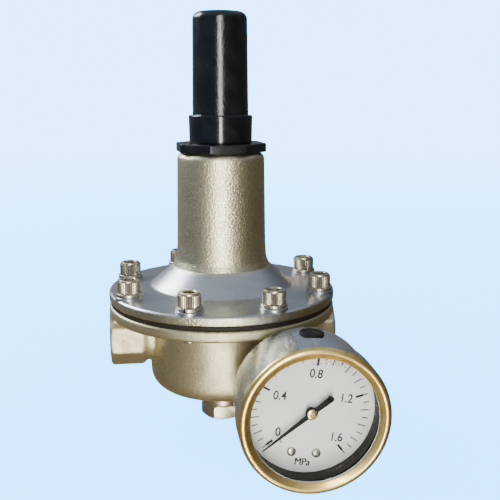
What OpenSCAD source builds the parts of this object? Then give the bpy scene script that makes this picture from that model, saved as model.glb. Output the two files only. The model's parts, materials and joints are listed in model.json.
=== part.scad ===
// Spring-loaded diaphragm pressure reducing valve with a liquid-filled gauge.
// Origin: where the flow line crosses the spindle axis. +X is downstream, +Z is up, and the gauge faces -Y.

/* [Pipe ends] */
// Distance between the two pipe end faces
face_to_face = 104.8; // [100:0.2:130]
// Across flats of the octagonal pipe ends
port_flats = 28; // [25:0.5:31]
// Length of each octagonal pipe end
port_octagon_l = 16; // [10:0.5:19]
// Diameter of the round neck behind each octagon
port_neck_d = 26; // [24:0.5:27]
// Bore of the pipe thread
port_bore_d = 18.6; // [13:0.1:20]
// Depth of the pipe thread
port_depth = 15; // [10:0.5:18]

/* [Body casting] */
// Diameter of the bolted flanges
flange_d = 105; // [92:0.5:126]
// Thickness of the body flange
flange_t = 5.2; // [4:0.1:6.5]
// Height of the body flange face above the flow line
flange_z = 15; // [14:0.1:20]
// Outer diameter of the bowl
bowl_d = 68; // [58:0.5:74]
// Wall of the bowl
bowl_wall = 4; // [3:0.1:6]
// Depth of the bowl below the flow line
bowl_drop = 26; // [24:0.5:32]
// Edge radius of the bowl
bowl_edge = 8.5; // [3:0.5:10]
// Wall of the boss around the bottom plug
boss_wall = 3.5; // [2.5:0.1:6]
// Height of the boss under the bowl
boss_h = 5.5; // [3:0.5:8]
// Wall of the seat tower inside the bowl
tower_wall = 4.5; // [3.5:0.1:6]
// Bore of the passage from the inlet to the seat
passage_d = 12; // [8:0.5:13]

/* [Seat and disc] */
// Bore of the seat
seat_bore_d = 10; // [9:0.1:12]
// Height of the seat flange face above the flow line
seat_face_z = 8; // [7:0.1:8.6]
// Opening travel of the disc
lift = 3; // [1:0.1:3]
// Diameter of the valve stem
stem_d = 6; // [5:0.1:6.6]

/* [Bottom plug] */
// Width of the bottom plug's collar outside its thread
plug_collar_w = 1.5; // [1.2:0.1:2.5]
// Collar height of the bottom plug
plug_collar_h = 3.7; // [2:0.1:5]
// Across flats of the bottom plug
plug_flats = 18; // [14:0.5:20]
// Height of the bottom plug hexagon
plug_hex_h = 6.9; // [5:0.1:9]

/* [Diaphragm] */
// Thickness of the diaphragm
diaphragm_t = 2; // [1:0.1:3]
// Diameter of the diaphragm plate
plate_d = 44; // [36:0.5:50]

/* [Bonnet] */
// Thickness of the bonnet flange at its rim
bonnet_rim_t = 4.3; // [3.5:0.1:6]
// Height of the whole bonnet above the diaphragm
bonnet_h = 67.2; // [62:0.2:80]
// How far inside the bowl's outline the steep cone begins
cone_inset = 0.7; // [0:0.1:2]
// Diameter where the steep cone meets the spring housing
housing_foot_d = 44.8; // [42:0.2:50]
// Diameter of the spring housing at its top
housing_top_d = 39.8; // [37:0.2:42]
// Inner diameter of the spring housing
housing_bore_d = 33; // [31.6:0.1:34]

/* [Flange screws] */
// Number of flange screws
screw_count = 8; // [6:1:10]
// Thread diameter of the flange screws
screw_d = 6; // [5:0.5:6]
// Distance from the screw circle to the rim of the flange
screw_inset = 6.1; // [5.6:0.1:7]

/* [Spring setting] */
// Across flats of the octagonal nut
octagon_flats = 39; // [36:0.5:42]
// Height of the octagonal nut
octagon_h = 4; // [3:0.1:6]
// Thread diameter of the adjusting screw
adjuster_d = 10; // [8:0.5:10]
// Pitch of the adjusting screw
adjuster_pitch = 1.5; // [1:0.25:2]
// Turns of the adjusting screw
adjuster_turns = 6; // [2:1:6]
// Mean diameter of the main spring
main_spring_d = 25; // [24:0.5:26]
// Wire diameter of the main spring
main_wire_d = 4; // [3:0.1:4.4]

/* [Cap] */
// Height of the cap
cap_h = 57; // [53:0.5:70]
// Diameter of the cap above its collar
cap_d = 25.2; // [25:0.1:27]
// Diameter of the cap collar
cap_collar_d = 28.8; // [28.4:0.1:32]
// Height of the cap collar
cap_collar_h = 12.2; // [8:0.1:16]

/* [Gauge] */
// Outer diameter of the gauge bezel
bezel_d = 60; // [58:0.5:64]
// Distance of the gauge axis from the spindle axis
gauge_x = 27.6; // [26:0.1:30]
// Depth of the gauge axis below the flow line
gauge_drop = 12.4; // [11:0.1:13]
// Gap between the front line of the flange rim and the back of the gauge case
case_gap = -0.3; // [-0.3:0.1:6]
// Length of the gauge socket outside the case
socket_l = 13.7; // [12:0.1:15]
// Distance from the dial to the back of the case
case_back = 20; // [19.5:0.1:20.5]
// Clockwise turn of the gauge, in degrees
gauge_roll = 8; // [0:1:15]
// Distance from the dial to the bezel lip
bezel_reach = 11.8; // [11:0.1:14]

/* [Hidden] */
$fn = 96;
coil_sides = 10;
coil_steps = 22;

// Clearances
thread_gap = 0.05;
running_gap = 0.05;
press_gap = 0.02;
free_gap = 0.3;

// Body
flange_r = flange_d / 2;
bowl_r = bowl_d / 2;
chamber_r = bowl_r - bowl_wall;
port_x = face_to_face / 2;
neck_x = port_x - port_octagon_l;
boss_z = -bowl_drop - boss_h;
inlet_drop = 4;
inlet_tunnel_r = passage_d / 2 + bowl_wall - 0.6;
outlet_passage_r = passage_d / 2 + 1;
port_chamfer = 1.2;
seat_bore_r = seat_bore_d / 2;
web_z = seat_face_z - 5;
seat_flange_t = 1.5;
seat_gasket_t = 0.5;
web_top = seat_face_z - seat_flange_t - seat_gasket_t;
seat_thread_r = seat_bore_r + 2;
lip_z = web_z - 1.5;
edge_r = 1.3;

// Screws
screw_pcd_r = flange_r - screw_inset;
screw_head_d = screw_d * 10 / 6;
washer_t = 1.6;
screw_tip = 1.5;
screw_angle = 180 / screw_count;

// Diaphragm and stem stack
diaphragm_top = flange_z + diaphragm_t;
diaphragm_r = flange_r - 0.6;
plate_r = plate_d / 2;
plate_t = 3;
washer_plate_t = 1.8;
washer_plate_r = plate_r - 2;
shoulder_t = 0.8;
stack_bottom = flange_z - washer_plate_t;
stem_r = stem_d / 2;
stem_foot_r = stem_r - 0.5;
diaphragm_nut_flats = 2 * (stem_r + 1) + 5;
diaphragm_nut_h = 6;
spring_floor = diaphragm_top + plate_t;

// Disc
disc_r = seat_bore_r + 2.4;
seal_t = 2.2;
disc_body_t = 7;
disc_bottom = lip_z - 0.4 - disc_body_t;
disc_nut_flats = 2 * stem_foot_r + 3;
disc_nut_h = 4;
return_wire_r = 0.6;
return_spring_turns = 7;
return_coil_r = disc_nut_flats / 2 / cos(30) + return_wire_r + 0.4;

// Plug
plug_gasket_t = 0.9;
plug_top = boss_z + 11;
plug_collar_top = boss_z - plug_gasket_t;
plug_hex_top = plug_collar_top - plug_collar_h;
plug_bottom = plug_hex_top - plug_hex_h;
plug_thread_r = disc_r + 1.6;
plug_collar_r = plug_thread_r + plug_collar_w;
boss_r = plug_thread_r + boss_wall;
tower_r = plug_thread_r + tower_wall;
pocket_floor = plug_top - 4;
stem_guide_l = 5;
guide_bottom = pocket_floor - stem_guide_l - lift - 1;
plug_bore_r = plug_thread_r + thread_gap;

// Bonnet
bonnet_top = diaphragm_top + bonnet_h;
rim_top = diaphragm_top + bonnet_rim_t;
pad_z = rim_top + 1.1;
cone_r = bowl_r - cone_inset;
cone_z = rim_top + 1.6;
housing_foot_r = housing_foot_d / 2;
housing_foot_z = cone_z + 9.2;
housing_waist_r = housing_foot_r - 1.4;
housing_waist_z = housing_foot_z + 10;
housing_top_r = housing_top_d / 2;
housing_bore_r = housing_bore_d / 2;
housing_edge = 2.6;
bonnet_mouth_r = chamber_r;
foot_blend_z = (housing_foot_z * 2 + housing_waist_z) / 3;

// Octagonal nut, adjusting screw and button
octagon_top = bonnet_top + octagon_h;
octagon_turn = 4.3;
bush_r = 15;
bush_drop = 9;
bush_seat_z = bonnet_top - bush_drop - 1.5;
bush_bore_r = bush_r + thread_gap;
spigot_r = 10.9;
spigot_h = 6;
adjuster_r = adjuster_d / 2;
adjuster_travel = adjuster_pitch * adjuster_turns;
lock_nut_z = octagon_top + spigot_h;
lock_nut_flats = 17;
lock_nut_h = 5;
button_t = 5;
button_top = bonnet_top - bush_drop - 4;
button_r = housing_bore_r - 0.6;
main_coil_r = main_spring_d / 2;
main_wire_r = main_wire_d / 2;
main_spring_turns = 7;
plate_cup_r = main_coil_r + main_wire_r + free_gap;
button_spigot_h = 3;
adjuster_tail = 1.8;
adjuster_point_r = 1.2;
adjuster_hex_l = 8;
adjuster_hex_flats = adjuster_r * 1.6;
adjuster_top = lock_nut_z + lock_nut_h + adjuster_travel + 12;

// Cap
cap_foot = octagon_top + 0.05;
cap_top = octagon_top + cap_h;
cap_r = cap_d / 2;
cap_taper = 0.5;
cap_edge = 3.4;
cap_wall = 2.4;
cap_bore_r = cap_r - cap_wall;
cap_collar_r = cap_collar_d / 2;
cap_collar_top = octagon_top + cap_collar_h;

// Gauge, in its own frame: x to the right, y up the dial, z towards the reader, with z = 0 on the dial
bezel_r = bezel_d / 2;
dial_y = flange_r + case_gap + case_back;
gauge_boss_y = dial_y - case_back - socket_l;
case_r = bezel_r - 1.15;
case_wall = 1;
case_rim_z = 5.2;
dial_r = case_r - case_wall - 0.4;
dial_t = 0.8;
window_gasket_t = 1.2;
window_t = 3;
window_z = case_rim_z + window_gasket_t;
window_r = bezel_r - 1.6;
window_top = window_z + window_t;
aperture_r = bezel_r - 4.7;
bezel_lip_r = 1.9;
bezel_foot_z = -0.6;
socket_thread_r = 6.5;
socket_hex_flats = 14;
socket_neck_r = 6.8;
boss_gap = 1.5;
socket_face_z = gauge_boss_y - dial_y;
gauge_boss_r = 9.6;
gauge_hole_depth = 12;
block_top = -9.4;
tube_r = 19.2;
tube_t = 2.4;
tube_w = 6.4;
tube_z = -15;
tube_start = -62;
tube_sweep = 268;
tube_wall = 0.4;
lug_z = tube_z + tube_w - 1.2;
tip_x = tube_r * cos(tube_start + tube_sweep + 4);
tip_y = tube_r * sin(tube_start + tube_sweep + 4);
plate_back_z = -8.2;
movement_plate_t = 0.9;
plate_front_z = -dial_t - movement_plate_t;
pillar_x = 5.1;
pillar_low_y = -17.6;
pillar_high_y = 4.4;
pillar_r = 1.5;
pointer_z = 2.6;
pointer_t = 0.5;
pointer_tail_l = 9.4;
pointer_tail_r = 1.3;
pointer_waist_r = 0.9;
pointer_tip_r = 0.15;
pointer_tip_l = aperture_r - 1;
pointer_ring_r = 2.6;
pointer_boss_r = 2.1;
dial_screw_r = 1.8;
dial_screw_h = 1.1;
stop_pin_r = 16.4;
stop_pin_angle = 140.5;
filler_z = -9;
filler_hole_r = 4;

// Movement gears
gear_module = 0.3;
pinion_teeth = 12;
sector_ratio = 7.5;
pressure_angle = 20;
pinion_r = gear_module * pinion_teeth / 2;
sector_r = pinion_r * sector_ratio;
gear_centres = pinion_r + sector_r;
pointer_sweep = 270;
gear_z = -6;
gear_t = 1.4;
arbor_r = 0.7;
pivot_r = 1;
tail_l = 4.2;
tail_angle = 125;
tail_x = tail_l * cos(tail_angle);
tail_y = tail_l * sin(tail_angle) - gear_centres;
link_end_x = -14.2;
link_end_y = -9.6;
link_pin_r = 0.5;
link_t = 0.6;
link_z = gear_z + gear_t + 0.15;
link_angle = atan2(link_end_y - tail_y, link_end_x - tail_x);
link_reach = norm([link_end_x - tail_x, link_end_y - tail_y]);
lug_angle = atan2(tip_y - link_end_y, tip_x - link_end_x);
lug_reach = norm([tip_x - link_end_x, tip_y - link_end_y]);

// ---------------------------------------------------------------- shared shapes

// A round bar from z0 to z1
module bar(z0, z1, r) {
    translate([0, 0, z0]) cylinder(h = z1 - z0, r = r);
}

// A tube from z0 to z1
module tube(z0, z1, r_out, r_in) {
    difference() {
        bar(z0, z1, r_out);
        bar(z0 - 1, z1 + 1, r_in);
    }
}

// A regular prism from z0 to z1, by its size across flats, with a flat towards -Y
module prism(z0, z1, flats, sides) {
    translate([0, 0, z0])
        rotate([0, 0, 90 - 180 / sides])
            cylinder(h = z1 - z0, r = flats / 2 / cos(180 / sides), $fn = sides);
}

// A prism whose ends are turned to a 30 degree bevel, which starts at share of the distance to the flats
module turned_prism(z0, z1, flats, sides, share) {
    start = share * flats / 2;
    outside = flats / 2 / cos(180 / sides) + 0.1;
    bevel = (outside - start) * tan(30);
    intersection() {
        prism(z0, z1, flats, sides);
        rotate([0, 0, 75 / sides]) rotate_extrude() polygon([[0, z0], [start, z0], [outside, z0 + bevel],
            [outside, z1 - bevel], [start, z1], [0, z1]]);
    }
}

// A hexagon nut or bolt head
module hexagon(z0, z1, flats) {
    turned_prism(z0, z1, flats, 6, 0.95);
}

// The half-profile of a disc whose outer edges are rounded, for rotate_extrude
module rounded_profile(z0, z1, r, low, high) {
    translate([0, z0 + low]) square([r, z1 - z0 - low - high]);
    translate([0, z0]) square([r - low, z1 - z0]);
    translate([0, (z0 + z1) / 2]) square([r - high, (z1 - z0) / 2]);
    if (low > 0) translate([r - low, z0 + low]) circle(r = low);
    if (high > 0) translate([r - high, z1 - high]) circle(r = high);
}

// A disc whose outer edges are rounded by low and high
module rounded_disc(z0, z1, r, low, high) {
    rotate_extrude() intersection() {
        rounded_profile(z0, z1, r, low, high);
        translate([0, z0]) square([r + 1, z1 - z0]);
    }
}

// What stands at each flange screw
module at_screws() {
    for (i = [0:screw_count - 1])
        rotate([0, 0, screw_angle + 360 * i / screw_count])
            translate([screw_pcd_r, 0, 0])
                children();
}

// What lies along +X and -X alike
module both_ways() {
    for (side = [0, 180]) rotate([0, 0, side]) children();
}

// Turns a shape built along +Z so that it runs along +X
module along_x() {
    rotate([0, 90, 0]) children();
}

// The gauge's own frame
module at_gauge() {
    translate([gauge_x, -dial_y, -gauge_drop])
        rotate([90, 0, 0])
            rotate([0, 0, -gauge_roll])
                children();
}

// Height of a coil's wire after a number of turns: closed end turns, open turns between
function coil_z(turn, turns, length, wire) =
    let (closed = 2.1 * wire, open = (length - 2 * wire - 2 * closed) / (turns - 2))
    turn < 1 ? wire + turn * closed :
    turn > turns - 1 ? length - wire - (turns - turn) * closed :
    wire + closed + (turn - 1) * open;

// A compression spring that stands on z = 0
module spring(length, turns, coil, wire) {
    steps = turns * coil_steps;
    points = [for (i = [0:steps]) for (j = [0:coil_sides - 1])
        let (a = 360 * i / coil_steps, b = 360 * j / coil_sides, r = coil + wire * cos(b))
        [r * cos(a), r * sin(a), coil_z(i / coil_steps, turns, length, wire) + wire * sin(b)]];
    sides = [for (i = [0:steps - 1]) for (j = [0:coil_sides - 1])
        let (k = (j + 1) % coil_sides, p = i * coil_sides, q = p + coil_sides)
        each [[p + j, q + k, q + j], [p + j, p + k, q + k]]];
    start = [for (j = [1:coil_sides - 2]) [0, j + 1, j]];
    last = steps * coil_sides;
    end = [for (j = [1:coil_sides - 2]) [last, last + j, last + j + 1]];
    polyhedron(points = points, faces = concat(start, end, sides));
}

// ---------------------------------------------------------------- body

// Outside of the bowl with its foot edge rounded and the boss under it
module bowl_outside() {
    rounded_disc(-bowl_drop, flange_z - flange_t + 0.5, bowl_r, bowl_edge, 0);
    rounded_disc(boss_z, -bowl_drop + 1, boss_r, 0.8, 0);
}

// Octagonal pipe end with its round neck, along +X
module port_outside() {
    along_x() turned_prism(neck_x, port_x, port_flats, 8, 0.98);
    along_x() bar(chamber_r + 1, neck_x + 0.5, port_neck_d / 2);
}

// Space inside the bowl, left around the tower and the inlet tunnel
module outlet_chamber() {
    difference() {
        rounded_disc(-bowl_drop + bowl_wall, flange_z + 1, chamber_r, max(bowl_edge - bowl_wall, 0.5), 0);
        bar(-bowl_drop, web_top, tower_r);
        translate([0, 0, -inlet_drop]) rotate([0, -90, 0]) bar(0, bowl_r, inlet_tunnel_r);
        translate([-bowl_r, -bowl_wall, -bowl_drop]) cube([bowl_r, 2 * bowl_wall, bowl_drop - inlet_drop]);
    }
}

module body_casting() color([0.66, 0.62, 0.5]) difference() {
    union() {
        rounded_disc(flange_z - flange_t, flange_z, flange_r, edge_r, edge_r / 2);
        bowl_outside();
        both_ways() port_outside();
        translate([gauge_x, 0, -gauge_drop]) rotate([90, 0, 0])
            bar(chamber_r * 0.4, gauge_boss_y, gauge_boss_r);
    }
    outlet_chamber();
    both_ways() along_x() bar(port_x - port_depth, port_x + 1, port_bore_d / 2);
    both_ways() along_x() translate([0, 0, port_x])
        cylinder(h = port_chamfer, r1 = port_bore_d / 2, r2 = port_bore_d / 2 + port_chamfer, center = true);
    along_x() bar(chamber_r - 3, port_x, outlet_passage_r);
    translate([0, 0, -inlet_drop]) rotate([0, -90, 0]) bar(0, port_x - port_depth + 1, passage_d / 2);
    bar(boss_z - 1, web_z, plug_bore_r);
    bar(web_z - 1, web_top + 1, seat_thread_r + thread_gap);
    at_screws() bar(0, flange_z + 1, screw_d / 2 + thread_gap);
    translate([gauge_x, 0, -gauge_drop]) rotate([90, 0, 0]) {
        bar(gauge_boss_y - gauge_hole_depth, gauge_boss_y + 1, socket_thread_r + thread_gap);
        bar(chamber_r * 0.3, gauge_boss_y, 2);
    }
}

module seat_ring() color([0.75, 0.62, 0.35]) difference() {
    union() {
        rounded_disc(web_top + seat_gasket_t, seat_face_z, seat_thread_r + 2, 0, 0.3);
        bar(lip_z + 1, web_top + seat_gasket_t, seat_thread_r);
        bar(lip_z, lip_z + 1, seat_bore_r + 0.8);
    }
    bar(lip_z - 1, seat_face_z + 1, seat_bore_r);
    for (a = [0, 90]) rotate([0, 0, a]) translate([-seat_thread_r - 3, -0.8, seat_face_z - 0.8])
        cube([2 * seat_thread_r + 6, 1.6, 1]);
}

module seat_gasket() color([0.25, 0.25, 0.25])
    tube(web_top, web_top + seat_gasket_t, seat_thread_r + 1.8, seat_thread_r + thread_gap);

module bottom_plug() color([0.72, 0.68, 0.55]) difference() {
    union() {
        bar(plug_bottom + 1, plug_top, plug_thread_r - 1);
        bar(plug_hex_top + 1, plug_top, plug_thread_r);
        rounded_disc(plug_hex_top, plug_collar_top, plug_collar_r, 0.4, 0.4);
        hexagon(plug_bottom, plug_hex_top, plug_flats);
    }
    bar(pocket_floor, plug_top + 1, return_coil_r + return_wire_r + free_gap);
    bar(guide_bottom, pocket_floor + 1, stem_foot_r + running_gap);
}

module plug_gasket() color([0.12, 0.12, 0.12])
    tube(plug_collar_top, boss_z, plug_collar_r + 0.6, plug_bore_r);

module diaphragm() color([0.1, 0.1, 0.1]) difference() {
    bar(flange_z, diaphragm_top, diaphragm_r);
    bar(flange_z - 1, diaphragm_top + 1, stem_r + 1 + press_gap);
    at_screws() bar(flange_z - 1, diaphragm_top + 1, screw_d / 2 + free_gap);
}

// ---------------------------------------------------------------- bonnet

// Half-profile of the bonnet: flange, shallow cone, steep cone and tapered spring housing
module bonnet_profile() {
    polygon([[0, rim_top - 0.1], [flange_r - edge_r, rim_top - 0.1], [flange_r - edge_r, rim_top],
        [cone_r, cone_z], [housing_foot_r, housing_foot_z], [housing_waist_r, foot_blend_z],
        [housing_waist_r - 0.5, housing_waist_z], [housing_top_r, bonnet_top - housing_edge],
        [0, bonnet_top - housing_edge]]);
    rounded_profile(diaphragm_top, rim_top, flange_r, edge_r / 2, edge_r);
    rounded_profile(bonnet_top - 2 * housing_edge - 1, bonnet_top, housing_top_r, 0, housing_edge);
}

// Half-profile of the space inside the bonnet
module bonnet_inside_profile() {
    polygon([[0, diaphragm_top - 1], [bonnet_mouth_r, diaphragm_top - 1], [bonnet_mouth_r, cone_z - 2.4],
        [housing_bore_r, housing_foot_z - 1.2], [housing_bore_r, bush_seat_z], [bush_bore_r, bush_seat_z],
        [bush_bore_r, bonnet_top + 1], [0, bonnet_top + 1]]);
}

module bonnet() color([0.68, 0.65, 0.54]) difference() {
    union() {
        rotate_extrude() difference() {
            intersection() {
                bonnet_profile();
                translate([0, diaphragm_top]) square([flange_r, bonnet_h]);
            }
            bonnet_inside_profile();
        }
        at_screws() bar(rim_top - 0.5, pad_z, screw_head_d / 2 + 1);
    }
    at_screws() bar(diaphragm_top - 1, pad_z + 1, screw_d / 2 + free_gap);
    at_screws() bar(pad_z, pad_z + washer_t + screw_d, screw_head_d / 2 + 1.1);
}

module flange_screws() color([0.7, 0.69, 0.64]) at_screws() difference() {
    union() {
        rounded_disc(pad_z + washer_t, pad_z + washer_t + screw_d, screw_head_d / 2, 0, 0.5);
        bar(flange_z - flange_t - screw_tip, pad_z + washer_t, screw_d / 2);
    }
    prism(pad_z + washer_t + screw_d / 2, pad_z + washer_t + screw_d + 1, screw_d * 5 / 6, 6);
}

module spring_washers() color([0.62, 0.62, 0.6]) at_screws() difference() {
    tube(pad_z, pad_z + washer_t, screw_head_d / 2 + 0.7, screw_d / 2 + 0.15);
    translate([screw_d / 2 - 1, -0.35, pad_z - 1]) cube([screw_d, 0.7, washer_t + 2]);
}

// ---------------------------------------------------------------- spring setting

module octagonal_nut() color([0.06, 0.06, 0.07]) difference() {
    union() {
        rotate([0, 0, octagon_turn]) turned_prism(bonnet_top, octagon_top, octagon_flats, 8, 1.03);
        bar(bonnet_top - bush_drop, bonnet_top + 1, bush_r);
        bar(octagon_top - 1, octagon_top + spigot_h, spigot_r - 0.6);
    }
    bar(bonnet_top - bush_drop - 1, octagon_top + spigot_h + 1, adjuster_r + running_gap);
}

module cap() color([0.05, 0.05, 0.06]) difference() {
    union() {
        rotate_extrude() intersection() {
            union() {
                polygon([[0, cap_foot], [cap_r, cap_foot], [cap_r - cap_taper, cap_top - cap_edge],
                    [0, cap_top - cap_edge]]);
                rounded_profile(cap_top - 2 * cap_edge - 1, cap_top, cap_r - cap_taper, 0, cap_edge);
            }
            translate([0, cap_foot]) square([cap_r, cap_top - cap_foot]);
        }
        rotate_extrude() polygon([[0, cap_foot], [cap_collar_r - 0.3, cap_foot],
            [cap_collar_r, cap_foot + 0.4], [cap_collar_r - 0.3, cap_collar_top - 1],
            [cap_collar_r - 1, cap_collar_top], [0, cap_collar_top]]);
    }
    bar(octagon_top - 1, cap_top - cap_wall, cap_bore_r);
    bar(octagon_top - 1, octagon_top + spigot_h + 0.6, spigot_r);
}

// The adjusting screw's pointed end, and the seat for it in the spring button
module adjuster_point() {
    translate([0, 0, button_top - adjuster_tail])
        cylinder(h = adjuster_tail, r1 = adjuster_point_r, r2 = adjuster_r - 0.6);
}

module adjusting_screw() color([0.6, 0.6, 0.58]) {
    adjuster_point();
    bar(button_top, adjuster_top - adjuster_hex_l, adjuster_r);
    hexagon(adjuster_top - adjuster_hex_l, adjuster_top, adjuster_hex_flats);
}

module lock_nut() color([0.62, 0.62, 0.6]) difference() {
    hexagon(lock_nut_z, lock_nut_z + lock_nut_h, lock_nut_flats);
    bar(lock_nut_z - 1, lock_nut_z + lock_nut_h + 1, adjuster_r + running_gap);
}

module spring_button() color([0.58, 0.58, 0.56]) difference() {
    union() {
        rounded_disc(button_top - button_t, button_top, button_r, 0.4, 0.8);
        bar(button_top - button_t - button_spigot_h, button_top - button_t,
            main_coil_r - main_wire_r - free_gap);
    }
    adjuster_point();
    bar(button_top - adjuster_tail - 0.4, button_top - adjuster_tail + 0.01, adjuster_point_r);
}

module main_spring() color([0.45, 0.47, 0.5])
    translate([0, 0, spring_floor])
        spring(button_top - button_t - spring_floor, main_spring_turns, main_coil_r, main_wire_r);

// ---------------------------------------------------------------- stem

module diaphragm_plate() color([0.6, 0.6, 0.56]) difference() {
    union() {
        rounded_disc(diaphragm_top, diaphragm_top + plate_t, plate_r, 0.8, 0.8);
        tube(diaphragm_top + 1, spring_floor + 2, plate_cup_r + 2.1, plate_cup_r);
    }
    bar(diaphragm_top - 1, spring_floor + 3, stem_r + 1 + press_gap);
}

module diaphragm_washer() color([0.6, 0.6, 0.56]) difference() {
    rounded_disc(stack_bottom, flange_z, washer_plate_r, 0.5, 0.5);
    bar(stack_bottom - 1, flange_z + 1, stem_r + 1 + press_gap);
}

module diaphragm_nut() color([0.62, 0.62, 0.6]) difference() {
    hexagon(spring_floor, spring_floor + diaphragm_nut_h, diaphragm_nut_flats);
    bar(spring_floor - 1, spring_floor + diaphragm_nut_h + 1, stem_r + 1 + thread_gap);
}

module valve_stem() color([0.7, 0.7, 0.68]) {
    bar(stack_bottom, spring_floor + diaphragm_nut_h + 2, stem_r + 1);
    bar(stack_bottom - shoulder_t, stack_bottom, stem_r + 3);
    bar(lip_z - seal_t, stack_bottom - shoulder_t, stem_r);
    bar(pocket_floor - stem_guide_l, lip_z - seal_t, stem_foot_r);
}

module disc_holder() color([0.66, 0.6, 0.4]) difference() {
    rounded_disc(disc_bottom, lip_z - 0.4, disc_r, 0.8, 0.4);
    bar(lip_z - seal_t, lip_z, disc_r - 0.9);
    bar(disc_bottom - 1, lip_z, stem_foot_r + press_gap);
}

module disc_seal() color([0.13, 0.13, 0.13])
    tube(lip_z - seal_t, lip_z, disc_r - 0.9 - press_gap, stem_r + press_gap);

module disc_nut() color([0.62, 0.62, 0.6]) difference() {
    hexagon(disc_bottom - disc_nut_h, disc_bottom, disc_nut_flats);
    bar(disc_bottom - disc_nut_h - 1, disc_bottom + 1, stem_foot_r + thread_gap);
}

module return_spring() color([0.5, 0.52, 0.55])
    translate([0, 0, pocket_floor])
        spring(disc_bottom - pocket_floor, return_spring_turns, return_coil_r, return_wire_r);

// ---------------------------------------------------------------- gauge shell

module gauge_case() color([0.75, 0.77, 0.8]) at_gauge() difference() {
    rounded_disc(-case_back, case_rim_z, case_r, 2.2, 0);
    rounded_disc(-case_back + case_wall, case_rim_z + 2, case_r - case_wall, 1.2, 0);
    bar(-case_back - 1, -case_back + 2, socket_neck_r + press_gap);
    rotate([0, 0, gauge_roll / 2]) translate([0, 0, filler_z]) rotate([-90, 0, 0])
        bar(case_r - 3, case_r + 1, filler_hole_r);
}

// Points along an arc about (x, z), from angle a to angle b
function arc(x, z, r, a, b, steps = 8) =
    [for (i = [0:steps]) let (t = a + (b - a) * i / steps) [x + r * cos(t), z + r * sin(t)]];

// The rolled ring: a foot around the case, a proud lip, and a face that slopes in to the aperture
module gauge_bezel() color([0.78, 0.62, 0.3]) at_gauge() rotate_extrude() polygon(concat(
    [[case_r + 0.1, bezel_foot_z], [bezel_r - 0.3, bezel_foot_z], [bezel_r, bezel_foot_z + 0.3]],
    arc(bezel_r - bezel_lip_r, bezel_reach - bezel_lip_r, bezel_lip_r, 0, 115),
    [[aperture_r, window_top + 0.9], [aperture_r, window_top], [window_r + 0.1, window_top],
        [window_r + 0.1, window_z - 0.4], [case_r + 0.1, window_z - 0.4]]));

module gauge_window() color([0.85, 0.9, 0.9, 0.3]) at_gauge()
    rounded_disc(window_z, window_top, window_r, 0.2, 0.2);

// A flat ring under the window, with a sleeve that reaches down to the dial
module window_gasket() color([0.08, 0.08, 0.08]) at_gauge() difference() {
    union() {
        bar(case_rim_z, window_z, window_r);
        bar(0.2, window_z, case_r - case_wall - 0.2);
    }
    bar(-1, window_z + 1, aperture_r + 0.9);
}

module gauge_dial() color([0.87, 0.88, 0.86]) at_gauge() difference() {
    bar(-dial_t, 0, dial_r);
    bar(-dial_t - 1, 1, 1.6);
    for (side = [-1, 1]) translate([side * pillar_x, pillar_low_y, 0]) bar(-dial_t - 1, 1, 1);
}

module dial_screws() color([0.7, 0.68, 0.6]) at_gauge() for (side = [-1, 1])
    translate([side * pillar_x, pillar_low_y, 0]) difference() {
        union() {
            rounded_disc(0, dial_screw_h, dial_screw_r, 0, 0.8);
            bar(plate_front_z + movement_plate_t, 0, 0.9);
        }
        translate([-3, -0.25, 0.6]) cube([6, 0.5, 1]);
    }

module stop_pin() color([0.3, 0.3, 0.3]) at_gauge() rotate([0, 0, stop_pin_angle])
    translate([0, stop_pin_r, 0]) bar(0, pointer_z + pointer_t + 0.1, 0.45);

module gauge_socket() color([0.76, 0.6, 0.3]) at_gauge() difference() {
    union() {
        bar(socket_face_z - gauge_hole_depth + 2, socket_face_z, socket_thread_r);
        bar(socket_face_z - 1, block_top, socket_thread_r - 0.8);
        hexagon(socket_face_z + boss_gap, -case_back, socket_hex_flats);
        bar(-case_back - 1, -case_back + case_wall + 1, socket_neck_r);
        rotate([0, 0, tube_start]) translate([0, -3, tube_z - 1])
            cube([tube_r + tube_t, 6, block_top - tube_z]);
        translate([-pillar_x - 2, pillar_low_y - 2, tube_z])
            cube([2 * pillar_x + 4, 4, plate_back_z - tube_z]);
        translate([-2.5, pillar_low_y, tube_z - 0.5]) cube([5, -pillar_low_y, block_top - tube_z - 0.5]);
    }
    bar(socket_face_z - gauge_hole_depth, -case_back + 4, 1.5);
    rotate([0, 0, tube_start]) rotate_extrude(angle = 20)
        translate([tube_r - tube_t / 2 - press_gap, tube_z - press_gap])
            square([tube_t + 2 * press_gap, tube_w + 2 * press_gap]);
}

module socket_seal() color([0.85, 0.85, 0.83]) at_gauge()
    tube(socket_face_z, socket_face_z + boss_gap, socket_thread_r + 1.6, socket_thread_r - 0.8);

// The C-shaped tube, flattened, with rounded edges
module tube_profile(shrink) {
    translate([tube_r - tube_t / 2 + shrink, tube_z + tube_t / 2])
        square([tube_t - 2 * shrink, tube_w - tube_t]);
    for (z = [tube_z + tube_t / 2, tube_z + tube_w - tube_t / 2])
        translate([tube_r, z]) circle(r = tube_t / 2 - shrink);
}

module bourdon_tube() color([0.72, 0.5, 0.3]) at_gauge() rotate([0, 0, tube_start + 0.5])
    rotate_extrude(angle = tube_sweep - 0.5) difference() {
        tube_profile(0);
        tube_profile(tube_wall);
    }

module tube_tip() color([0.74, 0.58, 0.3]) at_gauge() {
    rotate([0, 0, tube_start + tube_sweep]) rotate_extrude(angle = 7)
        translate([tube_r - tube_t / 2 - 0.2, tube_z]) square([tube_t + 0.4, tube_w]);
    translate([link_end_x, link_end_y, 0]) bar(lug_z, lug_z + 1, 1.2);
    translate([link_end_x, link_end_y, lug_z]) rotate([0, 0, lug_angle])
        translate([0, -0.9, 0]) cube([lug_reach, 1.8, 1]);
}

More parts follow.
